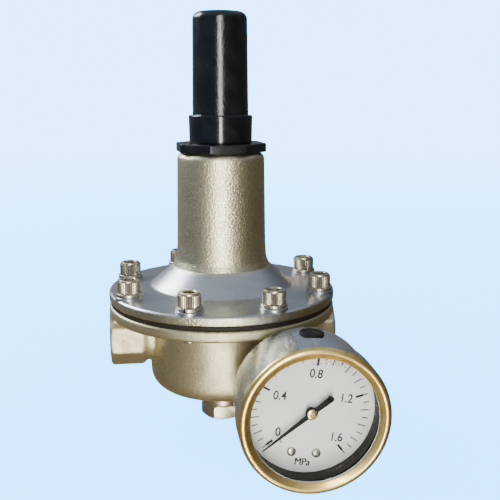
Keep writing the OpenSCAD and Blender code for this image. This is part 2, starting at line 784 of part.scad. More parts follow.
module filler_plug() color([0.1, 0.1, 0.11]) at_gauge() rotate([0, 0, gauge_roll / 2])
    translate([0, 0, filler_z]) rotate([-90, 0, 0]) {
        bar(case_r - 2.4, case_r + 0.6, filler_hole_r - 0.1);
        difference() {
            rounded_disc(case_r - 0.6, case_r + 1, 5, 0, 0.5);
            translate([0, -20, 0]) rotate([-90, 0, 0]) bar(0, 40, case_r);
        }
    }

// ---------------------------------------------------------------- gauge movement

// Outline of a movement plate, with its bearing holes
module movement_plate(z) {
    difference() {
        translate([-7.4, -20.6, z]) cube([14.8, 27.6, movement_plate_t]);
        bar(z - 1, z + 2, arbor_r + running_gap);
        translate([0, -gear_centres, 0]) bar(z - 1, z + 2, pivot_r + running_gap);
    }
}

module movement_plates() color([0.78, 0.64, 0.34]) at_gauge() {
    movement_plate(plate_back_z);
    movement_plate(plate_front_z);
}

module movement_pillars() color([0.76, 0.62, 0.32]) at_gauge() for (side = [-1, 1]) {
    for (y = [pillar_low_y, pillar_high_y])
        translate([side * pillar_x, y, 0]) bar(plate_back_z + movement_plate_t, plate_front_z, pillar_r);
}

module pointer() color([0.05, 0.05, 0.05]) at_gauge() rotate([0, 0, pointer_sweep / 2]) difference() {
    union() {
        translate([0, 0, pointer_z]) linear_extrude(pointer_t) polygon([
            [-pointer_tail_r, -pointer_tail_l], [pointer_tail_r, -pointer_tail_l], [pointer_waist_r, 0],
            [pointer_tip_r, pointer_tip_l], [-pointer_tip_r, pointer_tip_l], [-pointer_waist_r, 0]]);
        translate([0, -pointer_tail_l, 0]) bar(pointer_z, pointer_z + pointer_t, pointer_tail_r);
        bar(pointer_z, pointer_z + pointer_t, pointer_ring_r);
    }
    bar(0, 6, arbor_r + press_gap);
}

module pointer_boss() color([0.78, 0.62, 0.3]) at_gauge() difference() {
    rounded_disc(pointer_z + pointer_t, pointer_z + 1.7, pointer_boss_r, 0, 0.4);
    bar(pointer_z, pointer_z + 1.2, arbor_r + press_gap);
}

// The point at radius r and angle a
function polar(r, a) = r * [cos(a), sin(a)];

// Degrees between a radial line and the involute where the pressure angle is a
function involute(a) = tan(a) * 180 / PI - a;

// Half the angle that a tooth fills at radius r
function half_tooth(r, teeth) =
    let (pitch_r = gear_module * teeth / 2, base_r = pitch_r * cos(pressure_angle))
    82 / teeth + involute(pressure_angle) - involute(acos(min(1, base_r / max(r, base_r))));

// Outline of one tooth on a gear, pointing at angle a
function tooth(teeth, a, tip, root) =
    let (steps = 4, rs = [for (i = [0:steps]) root + (tip - root) * i / steps])
    concat(
        [for (r = rs) polar(r, a - half_tooth(r, teeth))],
        [for (i = [steps:-1:0]) polar(rs[i], a + half_tooth(rs[i], teeth))]);

module pinion_arbor() color([0.7, 0.7, 0.68]) at_gauge() {
    bar(plate_back_z + running_gap, pointer_z + 1, arbor_r);
    translate([0, 0, gear_z - 0.2]) linear_extrude(gear_t + 0.4)
        polygon([for (i = [0:pinion_teeth - 1]) each tooth(pinion_teeth, -90 + 360 * i / pinion_teeth,
            pinion_r + 0.75 * gear_module, pinion_r - 1.2 * gear_module)]);
}

module sector_gear() color([0.78, 0.64, 0.34]) at_gauge() translate([0, -gear_centres, 0]) {
    pitch = 360 / (pinion_teeth * sector_ratio);
    bar(plate_back_z + running_gap, plate_front_z + movement_plate_t - running_gap, pivot_r);
    translate([0, 0, gear_z]) linear_extrude(gear_t) difference() {
        union() {
            polygon(concat(
                [for (i = [-12:2]) each tooth(pinion_teeth * sector_ratio, 90 + pitch * (i + 0.5),
                    sector_r + 0.75 * gear_module, sector_r - 1.3 * gear_module)],
                [polar(1.8, 105), polar(1.8, 30)]));
            circle(r = 2.2);
            rotate([0, 0, tail_angle]) translate([0, -1.1]) square([tail_l, 2.2]);
            translate([tail_x, tail_y + gear_centres]) circle(r = 1.1);
        }
        rotate([0, 0, 68]) translate([8.2, 0]) circle(r = 1.9);
    }
    translate([tail_x, tail_y + gear_centres, 0]) bar(gear_z, link_z + link_t + 0.5, link_pin_r);
}

module movement_link() color([0.74, 0.6, 0.32]) at_gauge() {
    difference() {
        translate([0, 0, link_z]) linear_extrude(link_t) {
            translate([tail_x, tail_y]) circle(r = 1);
            translate([link_end_x, link_end_y]) circle(r = 1.2);
            translate([tail_x, tail_y]) rotate([0, 0, link_angle]) translate([0, -0.6])
                square([link_reach, 1.2]);
        }
        translate([tail_x, tail_y, 0]) bar(link_z - 1, link_z + 2, link_pin_r + running_gap);
    }
    // The stud stands just clear of the lug, so that the link can travel over it
    translate([link_end_x, link_end_y, 0])
        bar(tube_z + tube_w + 2 * running_gap, link_z + link_t + 0.6, link_pin_r);
}

// A flat spiral strip between the arbor and its stud on the upper pillar
module hairspring() color([0.55, 0.6, 0.7]) at_gauge() {
    turns = 3;
    turn_steps = 24;
    inner_r = pinion_r + 0.75 * gear_module + 0.5;
    strip_t = 0.22;
    steps = turns * turn_steps;
    inside = [for (i = [0:steps]) polar(inner_r + i / turn_steps, 360 * i / turn_steps)];
    outside = [for (i = [steps:-1:0]) polar(inner_r + strip_t + i / turn_steps, 360 * i / turn_steps)];
    translate([0, 0, plate_front_z - 1.1]) linear_extrude(0.7) polygon(concat(inside, outside));
}

body_casting();
seat_ring();
seat_gasket();
bottom_plug();
plug_gasket();
diaphragm();
bonnet();
flange_screws();
spring_washers();
octagonal_nut();
cap();
adjusting_screw();
lock_nut();
spring_button();
main_spring();
diaphragm_plate();
diaphragm_washer();
diaphragm_nut();
valve_stem();
disc_holder();
disc_seal();
disc_nut();
return_spring();
gauge_case();
gauge_bezel();
gauge_window();
window_gasket();
gauge_dial();
dial_screws();
stop_pin();
gauge_socket();
socket_seal();
bourdon_tube();
tube_tip();
movement_plates();
movement_pillars();
filler_plug();
pointer();
pointer_boss();
pinion_arbor();
sector_gear();
movement_link();
hairspring();
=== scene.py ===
import json
import logging
import math
from dataclasses import dataclass
from enum import Enum

import bpy
from mathutils import Matrix, Vector


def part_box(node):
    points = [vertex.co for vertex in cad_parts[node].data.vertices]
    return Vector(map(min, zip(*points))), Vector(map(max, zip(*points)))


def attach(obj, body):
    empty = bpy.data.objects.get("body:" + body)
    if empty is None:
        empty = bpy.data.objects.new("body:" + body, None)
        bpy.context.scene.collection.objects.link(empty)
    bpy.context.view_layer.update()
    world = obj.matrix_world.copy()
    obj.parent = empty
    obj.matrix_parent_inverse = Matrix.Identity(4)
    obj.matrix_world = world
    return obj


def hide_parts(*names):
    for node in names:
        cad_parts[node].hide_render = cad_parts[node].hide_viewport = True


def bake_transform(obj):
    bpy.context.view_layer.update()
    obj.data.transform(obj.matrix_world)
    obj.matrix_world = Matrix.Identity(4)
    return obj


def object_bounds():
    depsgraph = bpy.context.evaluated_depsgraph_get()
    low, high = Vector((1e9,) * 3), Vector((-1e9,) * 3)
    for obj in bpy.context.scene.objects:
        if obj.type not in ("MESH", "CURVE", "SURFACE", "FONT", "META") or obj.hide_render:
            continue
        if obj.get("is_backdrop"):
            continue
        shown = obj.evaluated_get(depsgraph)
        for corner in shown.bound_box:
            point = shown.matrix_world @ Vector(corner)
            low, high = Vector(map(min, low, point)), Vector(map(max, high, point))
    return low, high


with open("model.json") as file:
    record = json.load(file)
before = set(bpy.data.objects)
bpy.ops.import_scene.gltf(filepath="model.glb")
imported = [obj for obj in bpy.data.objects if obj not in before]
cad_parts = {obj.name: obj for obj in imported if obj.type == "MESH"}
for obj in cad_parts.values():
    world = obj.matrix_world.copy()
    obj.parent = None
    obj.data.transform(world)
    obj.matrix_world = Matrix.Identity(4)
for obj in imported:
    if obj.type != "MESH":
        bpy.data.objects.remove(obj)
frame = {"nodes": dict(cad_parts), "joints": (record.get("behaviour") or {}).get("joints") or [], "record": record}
LOG = logging.getLogger("valve")
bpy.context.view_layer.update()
MM = 0.001

Colour = tuple[float, float, float]
Point = tuple[float, float]


# ---------------------------------------------------------------- shader maths


class Value:
    """A number that varies over a surface, held as the socket that carries it."""

    def __init__(self, graph: "Graph", socket: bpy.types.NodeSocket) -> None:
        """Keeps the graph and the socket."""
        self.graph = graph
        self.socket = socket

    def _maths(self, operation: str, first: object, second: object) -> "Value":
        """Adds one Math node.

        Args:
            operation: the Math node's operation.
            first: its first value.
            second: its second value.

        Returns:
            The node's result.
        """
        node = self.graph.node("ShaderNodeMath", {"operation": operation}, {0: first, 1: second})
        return Value(self.graph, node.outputs[0])

    def __add__(self, other: object) -> "Value":
        """Sum."""
        return self._maths("ADD", self, other)

    __radd__ = __add__

    def __sub__(self, other: object) -> "Value":
        """Difference."""
        return self._maths("SUBTRACT", self, other)

    def __rsub__(self, other: object) -> "Value":
        """Difference, the other way round."""
        return self._maths("SUBTRACT", other, self)

    def __mul__(self, other: object) -> "Value":
        """Product."""
        return self._maths("MULTIPLY", self, other)

    __rmul__ = __mul__

    def __pow__(self, other: object) -> "Value":
        """Power."""
        return self._maths("POWER", self, other)

    def sine(self) -> "Value":
        """Sine, in radians."""
        return self._maths("SINE", self, 0.0)

    def over(self, low: float, high: float) -> "Value":
        """A soft step.

        Args:
            low: where the step begins.
            high: where it ends, which may be lower.

        Returns:
            0 before low and 1 after high, smooth between.
        """
        if high < low:
            return 1.0 - self.over(high, low)
        settings = {"interpolation_type": "SMOOTHSTEP"}
        node = self.graph.node("ShaderNodeMapRange", settings, {0: self, 1: low, 2: high})
        return Value(self.graph, node.outputs[0])


class Graph:
    """The node tree of one material or of the world, built from plain calls."""

    def __init__(self, tree: bpy.types.NodeTree) -> None:
        """Empties the tree and keeps it."""
        self.tree = tree
        tree.nodes.clear()

    def node(self, kind: str, settings: dict[str, object], values: dict[object, object]) -> bpy.types.Node:
        """Adds a node.

        Args:
            kind: the node's type.
            settings: properties, set first.
            values: what each input socket is given, a number, a colour or a link, by name or place.

        Returns:
            The node.
        """
        made = self.tree.nodes.new(kind)
        for key, setting in settings.items():
            setattr(made, key, setting)
        for key, given in values.items():
            socket = made.inputs[key]
            if isinstance(given, Value):
                given = given.socket
            if isinstance(given, bpy.types.NodeSocket):
                self.tree.links.new(given, socket)
            elif socket.type == "RGBA":
                socket.default_value = (*given[:3], 1.0)
            else:
                socket.default_value = given
        return made

    def place(self) -> bpy.types.NodeSocket:
        """Object coordinates, in metres."""
        return self.node("ShaderNodeTexCoord", {}, {}).outputs["Object"]

    def stretched(self, share: float) -> bpy.types.NodeSocket:
        """Object coordinates whose Z is scaled by share, which stretches a pattern upwards."""
        values = {"Vector": self.place(), "Scale": (1, 1, share)}
        return self.node("ShaderNodeMapping", {}, values).outputs[0]

    def parts(self, vector: bpy.types.NodeSocket) -> tuple[Value, Value, Value]:
        """The three components of a vector."""
        node = self.node("ShaderNodeSeparateXYZ", {}, {0: vector})
        return tuple(Value(self, out) for out in node.outputs)

    def noise(self, vector: bpy.types.NodeSocket, size: float, detail: float = 3.0,
              warp: float = 0.0) -> Value:
        """Fractal noise whose blobs are about size millimetres across."""
        values = {"Vector": vector, "Scale": 1 / (size * MM), "Detail": detail, "Distortion": warp}
        return Value(self, self.node("ShaderNodeTexNoise", {}, values).outputs[0])

    def blend(self, share: Value, first: object, second: object) -> bpy.types.NodeSocket:
        """A colour that goes from first to second as share goes from 0 to 1."""
        node = self.node("ShaderNodeMix", {"data_type": "RGBA"}, {0: share, 6: first, 7: second})
        return node.outputs[2]

    def bump(self, height: Value, depth: float) -> bpy.types.NodeSocket:
        """A normal from a height, whose full swing is depth millimetres."""
        values = {"Height": height, "Distance": depth * MM, "Strength": 1.0}
        return self.node("ShaderNodeBump", {}, values).outputs[0]

    def surface(self, values: dict[str, object]) -> None:
        """Ends the tree in one Principled shader."""
        shader = self.node("ShaderNodeBsdfPrincipled", {}, values)
        self.node("ShaderNodeOutputMaterial", {}, {0: shader.outputs[0]})

    def metal(self, colour: bpy.types.NodeSocket, rough: Value, height: Value, depth: float) -> None:
        """Ends the tree in bare metal whose relief swings by depth millimetres."""
        self.surface({"Base Color": colour, "Metallic": 1.0, "Roughness": rough,
                      "Normal": self.bump(height, depth)})


def new_material(name: str) -> tuple[bpy.types.Material, Graph]:
    """An empty material and its graph."""
    made = bpy.data.materials.new(name)
    made.use_nodes = True
    return made, Graph(made.node_tree)


def dimmed(colour: Colour, share: float) -> Colour:
    """A colour at a share of its brightness."""
    return tuple(share * tone for tone in colour)


# ---------------------------------------------------------------- finishes


class Lay(Enum):
    """Which way tool marks run."""

    NONE = 0
    TURNED = 1
    DRAWN = 2


@dataclass(frozen=True)
class Metal:
    """A metal surface: two tones in clouds, grain and tool marks. Sizes are in millimetres."""

    base: Colour
    stain_and_reflection_tone: Colour
    rough: float
    swing: float = 0.1
    cloud: float = 14.0
    grain: float = 0.5
    depth: float = 0.03
    lay: Lay = Lay.NONE
    marks: float = 0.25
    soot: float = 0.0

    def build(self, name: str) -> bpy.types.Material:
        """Makes the material.

        Args:
            name: the material's name.

        Returns:
            The material.
        """
        made, graph = new_material(name)
        place = graph.place()
        clouds = graph.noise(place, self.cloud, 4.0, 0.6)
        grain = graph.noise(place, self.grain, 3.0)
        # The second tone is a stain on most metals; on the gauge case it is a painted reflection streak.
        colour = graph.blend(clouds.over(0.35, 0.7), self.base, self.stain_and_reflection_tone)
        rough = (grain - 0.5) * self.swing + (clouds - 0.5) * self.swing + self.rough
        height = grain
        if self.lay is Lay.TURNED:
            x, y, z = graph.parts(place)
            ring = (x * x + y * y) ** 0.5
            mark = ((ring + z) * (2 * math.pi / (self.marks * MM))).sine() * 0.25 + 0.5
            height = height * 0.4 + mark
            rough = rough + (mark - 0.5) * 0.06
        if self.lay is Lay.DRAWN:
            streak = graph.noise(graph.stretched(0.04), self.marks, 2.0)
            height = height * 0.3 + streak
            rough = rough + (streak - 0.5) * self.swing
        if self.soot:
            dirt = graph.noise(place, self.cloud * 0.35, 6.0, 1.2).over(0.56, 0.78) * self.soot
            colour = graph.blend(dirt, colour, (0.10, 0.085, 0.06))
            rough = rough + dirt * 0.2
        graph.metal(colour, rough, height, self.depth)
        return made


@dataclass(frozen=True)
class Bonnet:
    """Blasted housing above a smoother, cooler flange. Heights are in metres."""

    blasted: Colour = (0.75, 0.69, 0.47)
    smooth: Colour = (0.56, 0.57, 0.60)
    rim: Colour = (0.62, 0.57, 0.42)

    def build(self, name: str, rim_top: float, cone_top: float) -> bpy.types.Material:
        """Makes the material.

        Args:
            name: the material's name.
            rim_top: the height where the flange rim ends.
            cone_top: the height where the steep cone meets the housing.

        Returns:
            The material.
        """
        made, graph = new_material(name)
        place = graph.place()
        height_up = graph.parts(place)[2]
        clouds = graph.noise(place, 12.0, 4.0, 0.5)
        shot = graph.noise(place, 0.85, 2.5)
        fleck = graph.noise(place, 0.42, 1.5)
        tool = graph.noise(graph.stretched(0.25), 1.1, 3.0)
        above = height_up.over(cone_top - 0.0016, cone_top + 0.0006)
        below = height_up.over(rim_top, rim_top - 0.0012)
        satin = (1.0 - above) * (1.0 - below)
        tone = graph.blend(clouds.over(0.3, 0.75), self.blasted, dimmed(self.blasted, 0.86))
        tone = graph.blend(fleck.over(0.52, 0.75) * 0.55, tone, (0.30, 0.26, 0.17))
        flange = graph.blend(clouds.over(0.35, 0.7), self.smooth, dimmed(self.smooth, 0.84))
        edge = graph.blend(clouds.over(0.35, 0.7), self.rim, dimmed(self.rim, 0.8))
        tone = graph.blend(satin, graph.blend(below, tone, edge), flange)
        grime = graph.noise(place, 3.2, 5.0, 1.0).over(0.6, 0.8) * 0.35
        tone = graph.blend(grime, tone, (0.16, 0.13, 0.09))
        rough = 0.38 - satin * 0.06 + (shot - 0.5) * 0.16 + (clouds - 0.5) * 0.10 + grime * 0.2
        relief = shot * (1.0 - satin) + tool * satin * 0.1
        graph.metal(tone, rough, relief, 0.24)
        return made


@dataclass(frozen=True)
class Bezel:
    """Rolled ring: brass on the face, and silvered on the side that meets the case."""

    brass: Colour = (0.93, 0.70, 0.27)
    bronze: Colour = (0.74, 0.52, 0.16)
    silver: Colour = (0.84, 0.89, 0.98)

    def build(self, name: str, front: float) -> bpy.types.Material:
        """Makes the material.

        Args:
            name: the material's name.
            front: the Y at which the brass ends and the silver begins.

        Returns:
            The material.
        """
        made, graph = new_material(name)
        place = graph.place()
        depth = graph.parts(place)[1]
        clouds = graph.noise(place, 7.0, 4.0, 0.6)
        grain = graph.noise(place, 0.5, 3.0)
        wear = graph.noise(place, 1.6, 4.0, 0.8)
        face = (depth + (wear - 0.5) * 0.0006).over(front, front - 0.0006)
        brass = graph.blend(clouds.over(0.35, 0.7), self.brass, self.bronze)
        silver = graph.blend(clouds.over(0.35, 0.7), self.silver, dimmed(self.silver, 0.82))
        tone = graph.blend(face, silver, brass)
        tarnish = wear.over(0.56, 0.78) * 0.35
        tone = graph.blend(tarnish, tone, (0.17, 0.12, 0.06))
        rough = 0.24 + face * 0.08 + (grain - 0.5) * 0.1 + (clouds - 0.5) * 0.12 + tarnish * 0.25
        graph.metal(tone, rough, grain, 0.010)
        return made


@dataclass(frozen=True)
class Moulded:
    """Plastic or rubber: a near-black with a faint second tone, and an orange-peel or grained skin."""

    base: Colour
    rough: float
    swing: float = 0.08
    peel: float = 1.2
    depth: float = 0.03
    grain: float = 0.15
    gloss: float = 0.5

    def build(self, name: str, smooth_below: float | None = None) -> bpy.types.Material:
        """Makes the material.

        Args:
            name: the material's name.
            smooth_below: the height in metres under which the skin is polished, if it is anywhere.

        Returns:
            The material.
        """
        made, graph = new_material(name)
        place = graph.place()
        peel = graph.noise(place, self.peel, 2.0)
        dust = graph.noise(place, self.grain, 2.0)
        clouds = graph.noise(place, 9.0, 4.0, 0.5)
        height = peel + dust * 0.2
        if smooth_below is not None:
            height = height * graph.parts(place)[2].over(smooth_below, smooth_below + 0.0004)
        rough = clouds * self.swing + self.rough + (dust - 0.5) * 0.04
        colour = graph.blend(clouds.over(0.35, 0.75), self.base, tuple(1.6 * c + 0.003 for c in self.base))
        graph.surface({"Base Color": colour, "Roughness": rough, "Specular IOR Level": self.gloss,
                       "Normal": graph.bump(height, self.depth)})
        return made


@dataclass(frozen=True)
class Pane:
    """Clear window over a filling: it mirrors more at its edge than at its middle."""

    tint: Colour = (0.93, 0.96, 1.0)

    def build(self, name: str) -> bpy.types.Material:
        """Makes the material."""
        made, graph = new_material(name)
        place = graph.place()
        glance = Value(graph, graph.node("ShaderNodeFresnel", {}, {"IOR": 1.46}).outputs[0])
        smear = graph.noise(place, 9.0, 4.0, 1.0).over(0.5, 0.9)
        rough = smear * 0.05 + 0.015
        alpha = glance * 0.55 + smear * 0.01
        graph.surface({"Base Color": self.tint, "Metallic": 1.0, "Roughness": rough, "Alpha": alpha})
        return made


@dataclass(frozen=True)
class Enamel:
    """Painted sheet, such as a dial: an even ground with faint clouds and a fine tooth."""

    base: Colour
    shade: Colour
    rough: float = 0.5

    def build(self, name: str) -> bpy.types.Material:
        """Makes the material."""
        made, graph = new_material(name)
        place = graph.place()
        clouds = graph.noise(place, 16.0, 5.0, 0.4)
        tooth = graph.noise(place, 0.25, 2.0)
        colour = graph.blend(clouds.over(0.3, 0.8), self.base, self.shade)
        rough = self.rough + (tooth - 0.5) * 0.12
        graph.surface({"Base Color": colour, "Roughness": rough, "Specular IOR Level": 0.25,
                       "Normal": graph.bump(tooth, 0.006)})
        return made


class Palette:
    """Every finish on the valve, by the material slot that it belongs to."""

    METALS: dict[str, Metal] = {
        "cast_body": Metal((0.62, 0.57, 0.37), (0.50, 0.44, 0.27), 0.47, 0.16, 13.0, 0.65, 0.14, soot=0.4),
        "plug_steel": Metal((0.62, 0.56, 0.42), (0.50, 0.43, 0.29), 0.34, 0.12, 8.0, 0.5, 0.02, Lay.TURNED),
        "screw_steel": Metal((0.60, 0.55, 0.42), (0.46, 0.41, 0.29), 0.36, 0.12, 4.0, 0.35, 0.015, Lay.TURNED,
                             0.3, 0.35),
        "washer_steel": Metal((0.62, 0.59, 0.50), (0.45, 0.41, 0.32), 0.34, 0.14, 3.0, 0.3, 0.02, soot=0.3),
        "inner_steel": Metal((0.58, 0.57, 0.54), (0.46, 0.44, 0.40), 0.32, 0.1, 8.0, 0.4, 0.02, Lay.TURNED),
        "spring_steel": Metal((0.34, 0.35, 0.37), (0.24, 0.23, 0.22), 0.36, 0.12, 5.0, 0.4, 0.02),
        "seat_metal": Metal((0.72, 0.56, 0.30), (0.56, 0.40, 0.20), 0.3, 0.1, 6.0, 0.3, 0.02, Lay.TURNED),
        # Chrome case: the blue-white base is partly the chrome's own colour and partly painted sky reflection, and
        # its darker blue second tone is painted reflection streaks.
        "gauge_case": Metal((0.90, 0.95, 1.0), (0.66, 0.70, 0.82), 0.26, 0.14, 7.0, 2.6, 0.035, Lay.NONE,
                            0.25, 0.18),
        "dial_screws": Metal((0.66, 0.64, 0.58), (0.42, 0.40, 0.35), 0.26, 0.1, 1.6, 0.2, 0.01),
        "movement_brass": Metal((0.82, 0.65, 0.32), (0.66, 0.47, 0.20), 0.24, 0.1, 4.0, 0.25, 0.012,
                                Lay.DRAWN),
        "socket_brass": Metal((0.76, 0.58, 0.28), (0.58, 0.40, 0.18), 0.3, 0.12, 6.0, 0.4, 0.02),
        "tube_bronze": Metal((0.66, 0.42, 0.24), (0.50, 0.28, 0.14), 0.3, 0.12, 5.0, 0.3, 0.015, Lay.DRAWN),
        "hairspring": Metal((0.36, 0.42, 0.55), (0.28, 0.30, 0.38), 0.22, 0.08, 2.0, 0.2, 0.005),
    }
    MOULDED: dict[str, Moulded] = {
        "gasket": Moulded((0.008, 0.0075, 0.007), 0.42, 0.18, 0.8, 0.03, gloss=0.18),
        "diaphragm": Moulded((0.013, 0.010, 0.007), 0.6, 0.15, 0.9, 0.05, gloss=0.25),
        "black_nut": Moulded((0.004, 0.0045, 0.0065), 0.2, 0.12, 1.1, 0.02, gloss=0.4),
        "pointer_black": Moulded((0.006, 0.006, 0.0065), 0.45, 0.1, 0.4, 0.01, gloss=0.12),
        "seal_tape": Moulded((0.72, 0.72, 0.70), 0.5, 0.1, 0.7, 0.06),
    }
    CAP = Moulded((0.003, 0.004, 0.005), 0.12, 0.08, 0.9, 0.085, gloss=0.6)
    # Heights above a node's foot, in metres, where its finish changes
    RIM_TOP = 0.0043
    CONE_TOP = 0.0151
    COLLAR_TOP = 0.0122
    # How far behind the bezel's front the silver begins, in metres
    BRASS_DEPTH = 0.0021

    def __init__(self) -> None:
        """Builds every finish."""
        self.slots: dict[str, bpy.types.Material] = {}
        for slot, finish in {**self.METALS, **self.MOULDED}.items():
            self.slots[slot] = finish.build(slot)
        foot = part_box("bonnet")[0].z
        self.slots["cast_bonnet"] = Bonnet().build("cast_bonnet", foot + self.RIM_TOP, foot + self.CONE_TOP)
        self.slots["black_cap"] = self.CAP.build("cap_plastic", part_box("cap")[0].z + self.COLLAR_TOP)
        self.slots["gauge_window"] = Pane().build("gauge_window")
        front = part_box("gauge_bezel")[0].y + self.BRASS_DEPTH
        self.slots["gauge_bezel"] = Bezel().build("gauge_bezel", front)
        self.slots["dial_white"] = Enamel((0.80, 0.84, 0.79), (0.72, 0.76, 0.72)).build("dial_white")
        self.ink = Enamel((0.012, 0.012, 0.013), (0.03, 0.03, 0.03), 0.45).build("dial_ink")

    def dress(self, piece: bpy.types.Object, slot: str) -> None:
        """Gives a piece its slot and the finish that goes with it."""
        piece.data.materials.clear()
        piece.data.materials.append(self.slots[slot])


# ---------------------------------------------------------------- outlines


def arc(centre: Point, radius: float, start: float, end: float, steps: int = 8) -> list[Point]:
    """Points on an arc, its angles in degrees."""
    turns = [math.radians(start + (end - start) * i / steps) for i in range(steps + 1)]
    return [(centre[0] + radius * math.cos(t), centre[1] + radius * math.sin(t)) for t in turns]


def rounded(corners: list[tuple[float, float, float]], steps: int = 5) -> list[Point]:
    """Rounds the corners of a closed outline.

    Args:
        corners: radius and height of each corner, and the radius that it is rounded to.
        steps: how many edges a rounded corner has.

    Returns:
        The points of the outline.
    """
    points: list[Point] = []
    count = len(corners)
    for i, (x, z, size) in enumerate(corners):
        here = Vector((x, z))
        back = Vector(corners[i - 1][:2]) - here
        on = Vector(corners[(i + 1) % count][:2]) - here
        if size <= 0:
            points.append((x, z))
            continue
        half = back.angle(on) / 2
        reach = min(size / math.tan(half), 0.49 * back.length, 0.49 * on.length)
        radius = reach * math.tan(half)
        centre = here + (back.normalized() + on.normalized()).normalized() * (radius / math.sin(half))
        first = here + back.normalized() * reach - centre
        last = here + on.normalized() * reach - centre
        start = math.degrees(math.atan2(first.y, first.x))
        sweep = (math.degrees(math.atan2(last.y, last.x)) - start + 180) % 360 - 180
        points += arc((centre.x, centre.y), radius, start, start + sweep, steps)
    return points


# ---------------------------------------------------------------- the bench


class Work:
    """A mesh on the bench, shaped until it is a piece. Sizes are in millimetres."""

    def __init__(self, name: str) -> None:
        """Takes the object that was just added, and names it."""
        self.obj = bpy.context.object
        self.obj.name = name
        self.obj.data.name = name

    @staticmethod
    def clear() -> None:
        """Leaves nothing selected."""
        bpy.ops.object.select_all(action="DESELECT")

    @classmethod
    def of_data(cls, name: str, data: bpy.types.ID) -> "Work":
        """Puts a mesh or a curve on the bench as a new object."""
        cls.clear()
        made = bpy.data.objects.new(name, data)
        bpy.context.scene.collection.objects.link(made)
        bpy.context.view_layer.objects.active = made
        made.select_set(True)
        return cls(name)

    def take(self) -> None:
        """Selects this work alone and makes it active."""
        self.clear()
        bpy.context.view_layer.objects.active = self.obj
        self.obj.select_set(True)

    @classmethod
    def lathe(cls, name: str, outline: list[Point], steps: int = 96) -> "Work":
        """A solid of revolution about Z.

        Args:
            name: the piece's name.
            outline: the closed half-section, as radius and height.
            steps: how many segments go round.

        Returns:
            The work.
        """
        cls.clear()
        bpy.ops.mesh.primitive_circle_add(vertices=len(outline), radius=MM)
        work = cls(name)
        for vertex, (radius, height) in zip(work.obj.data.vertices, outline):
            vertex.co = (max(radius, 0.0) * MM, 0.0, height * MM)
        bpy.ops.object.mode_set(mode="EDIT")
        bpy.ops.mesh.select_all(action="SELECT")
        bpy.ops.mesh.spin(steps=steps, angle=2 * math.pi, center=(0, 0, 0), axis=(0, 0, 1))
        bpy.ops.mesh.select_all(action="SELECT")
        bpy.ops.mesh.remove_doubles(threshold=2e-6)
        bpy.ops.mesh.delete_loose(use_verts=True, use_edges=True, use_faces=False)
        bpy.ops.mesh.select_all(action="SELECT")
        bpy.ops.mesh.normals_make_consistent(inside=False)
        bpy.ops.object.mode_set(mode="OBJECT")
        return work

    @classmethod
    def prism(cls, name: str, sides: int, flats: float, low: float, high: float, turn: float = 0.0) -> "Work":
        """A prism with a flat towards -Y, turned by turn degrees."""
        cls.clear()
        size = flats / 2 / math.cos(math.pi / sides)
        bpy.ops.mesh.primitive_cylinder_add(vertices=sides, radius=size * MM, depth=(high - low) * MM,
                                            location=(0, 0, (low + high) / 2 * MM))
        work = cls(name)
        bpy.ops.object.transform_apply(location=True, rotation=True, scale=True)
        # The primitive's first corner is on +Y, and half a side of an octagon or a hexagon takes it off
        half_side = 22.5 if sides == 8 else 30.0
        return work.move(Matrix.Rotation(math.radians(turn + half_side), 4, "Z"))

    @classmethod
    def block(cls, name: str, low: tuple[float, float, float], high: tuple[float, float, float]) -> "Work":
        """A block between two corners."""
        cls.clear()
        bpy.ops.mesh.primitive_cube_add(size=1)
        work = cls(name)
        size = [(b - a) * MM for a, b in zip(low, high)]
        middle = [(a + b) / 2 * MM for a, b in zip(low, high)]
        return work.move(Matrix.Translation(middle) @ Matrix.Diagonal((*size, 1)))

    @classmethod
    def copy_of(cls, name: str, node: str) -> "Work":
        """A merged copy of a CAD node's mesh."""
        work = cls.of_data(name, frame["nodes"][node].data.copy())
        bpy.ops.object.mode_set(mode="EDIT")
        bpy.ops.mesh.select_all(action="SELECT")
        bpy.ops.mesh.remove_doubles(threshold=1e-6)
        bpy.ops.object.mode_set(mode="OBJECT")
        if work.obj.data.has_custom_normals:
            bpy.ops.mesh.customdata_custom_splitnormals_clear()
        return work

    @classmethod
    def wire(cls, name: str, points: list[Vector], radius: float, sides: int = 4) -> "Work":
        """A round wire along points that are in millimetres."""
        line = bpy.data.curves.new(name, "CURVE")
        line.dimensions = "3D"
        line.bevel_depth = radius * MM
        line.bevel_resolution = sides
        line.use_fill_caps = True
        spline = line.splines.new("POLY")
        spline.points.add(len(points) - 1)
        for knot, point in zip(spline.points, points):
            knot.co = (*(point * MM), 1.0)
        cls.of_data(name, line)
        bpy.ops.object.convert(target="MESH")
        return cls(name).weld()

    @classmethod
    def ridge(cls, name: str, root: float, crest: float, pitch: float, low: float, high: float) -> "Work":
        """A screw thread's helical ridge about Z.

        Args:
            name: the piece's name.
            root: radius of the ridge's foot.
            crest: radius of its crest, less than the foot's for an inside thread.
            pitch: height of a turn.
            low: where it starts.
            high: where it ends.

        Returns:
            The work.
        """
        cls.clear()
        outline = [(root, -0.46), (crest, -0.08), (crest, 0.08), (root, 0.46)]
        bpy.ops.mesh.primitive_circle_add(vertices=4, radius=MM)
        work = cls(name)
        for vertex, (radius, share) in zip(work.obj.data.vertices, outline):
            vertex.co = (radius * MM, 0, (low + pitch * (0.5 + share)) * MM)
        turns = int((high - low) / pitch - 0.96)
        work.modify("SCREW", axis="Z", angle=2 * math.pi, screw_offset=pitch * MM, iterations=turns, steps=40,
                    render_steps=40, use_merge_vertices=False)
        bpy.ops.object.mode_set(mode="EDIT")
        bpy.ops.mesh.select_all(action="SELECT")
        bpy.ops.mesh.fill_holes(sides=8)
        bpy.ops.mesh.select_all(action="SELECT")
        bpy.ops.mesh.normals_make_consistent(inside=False)
        bpy.ops.object.mode_set(mode="OBJECT")
        return work

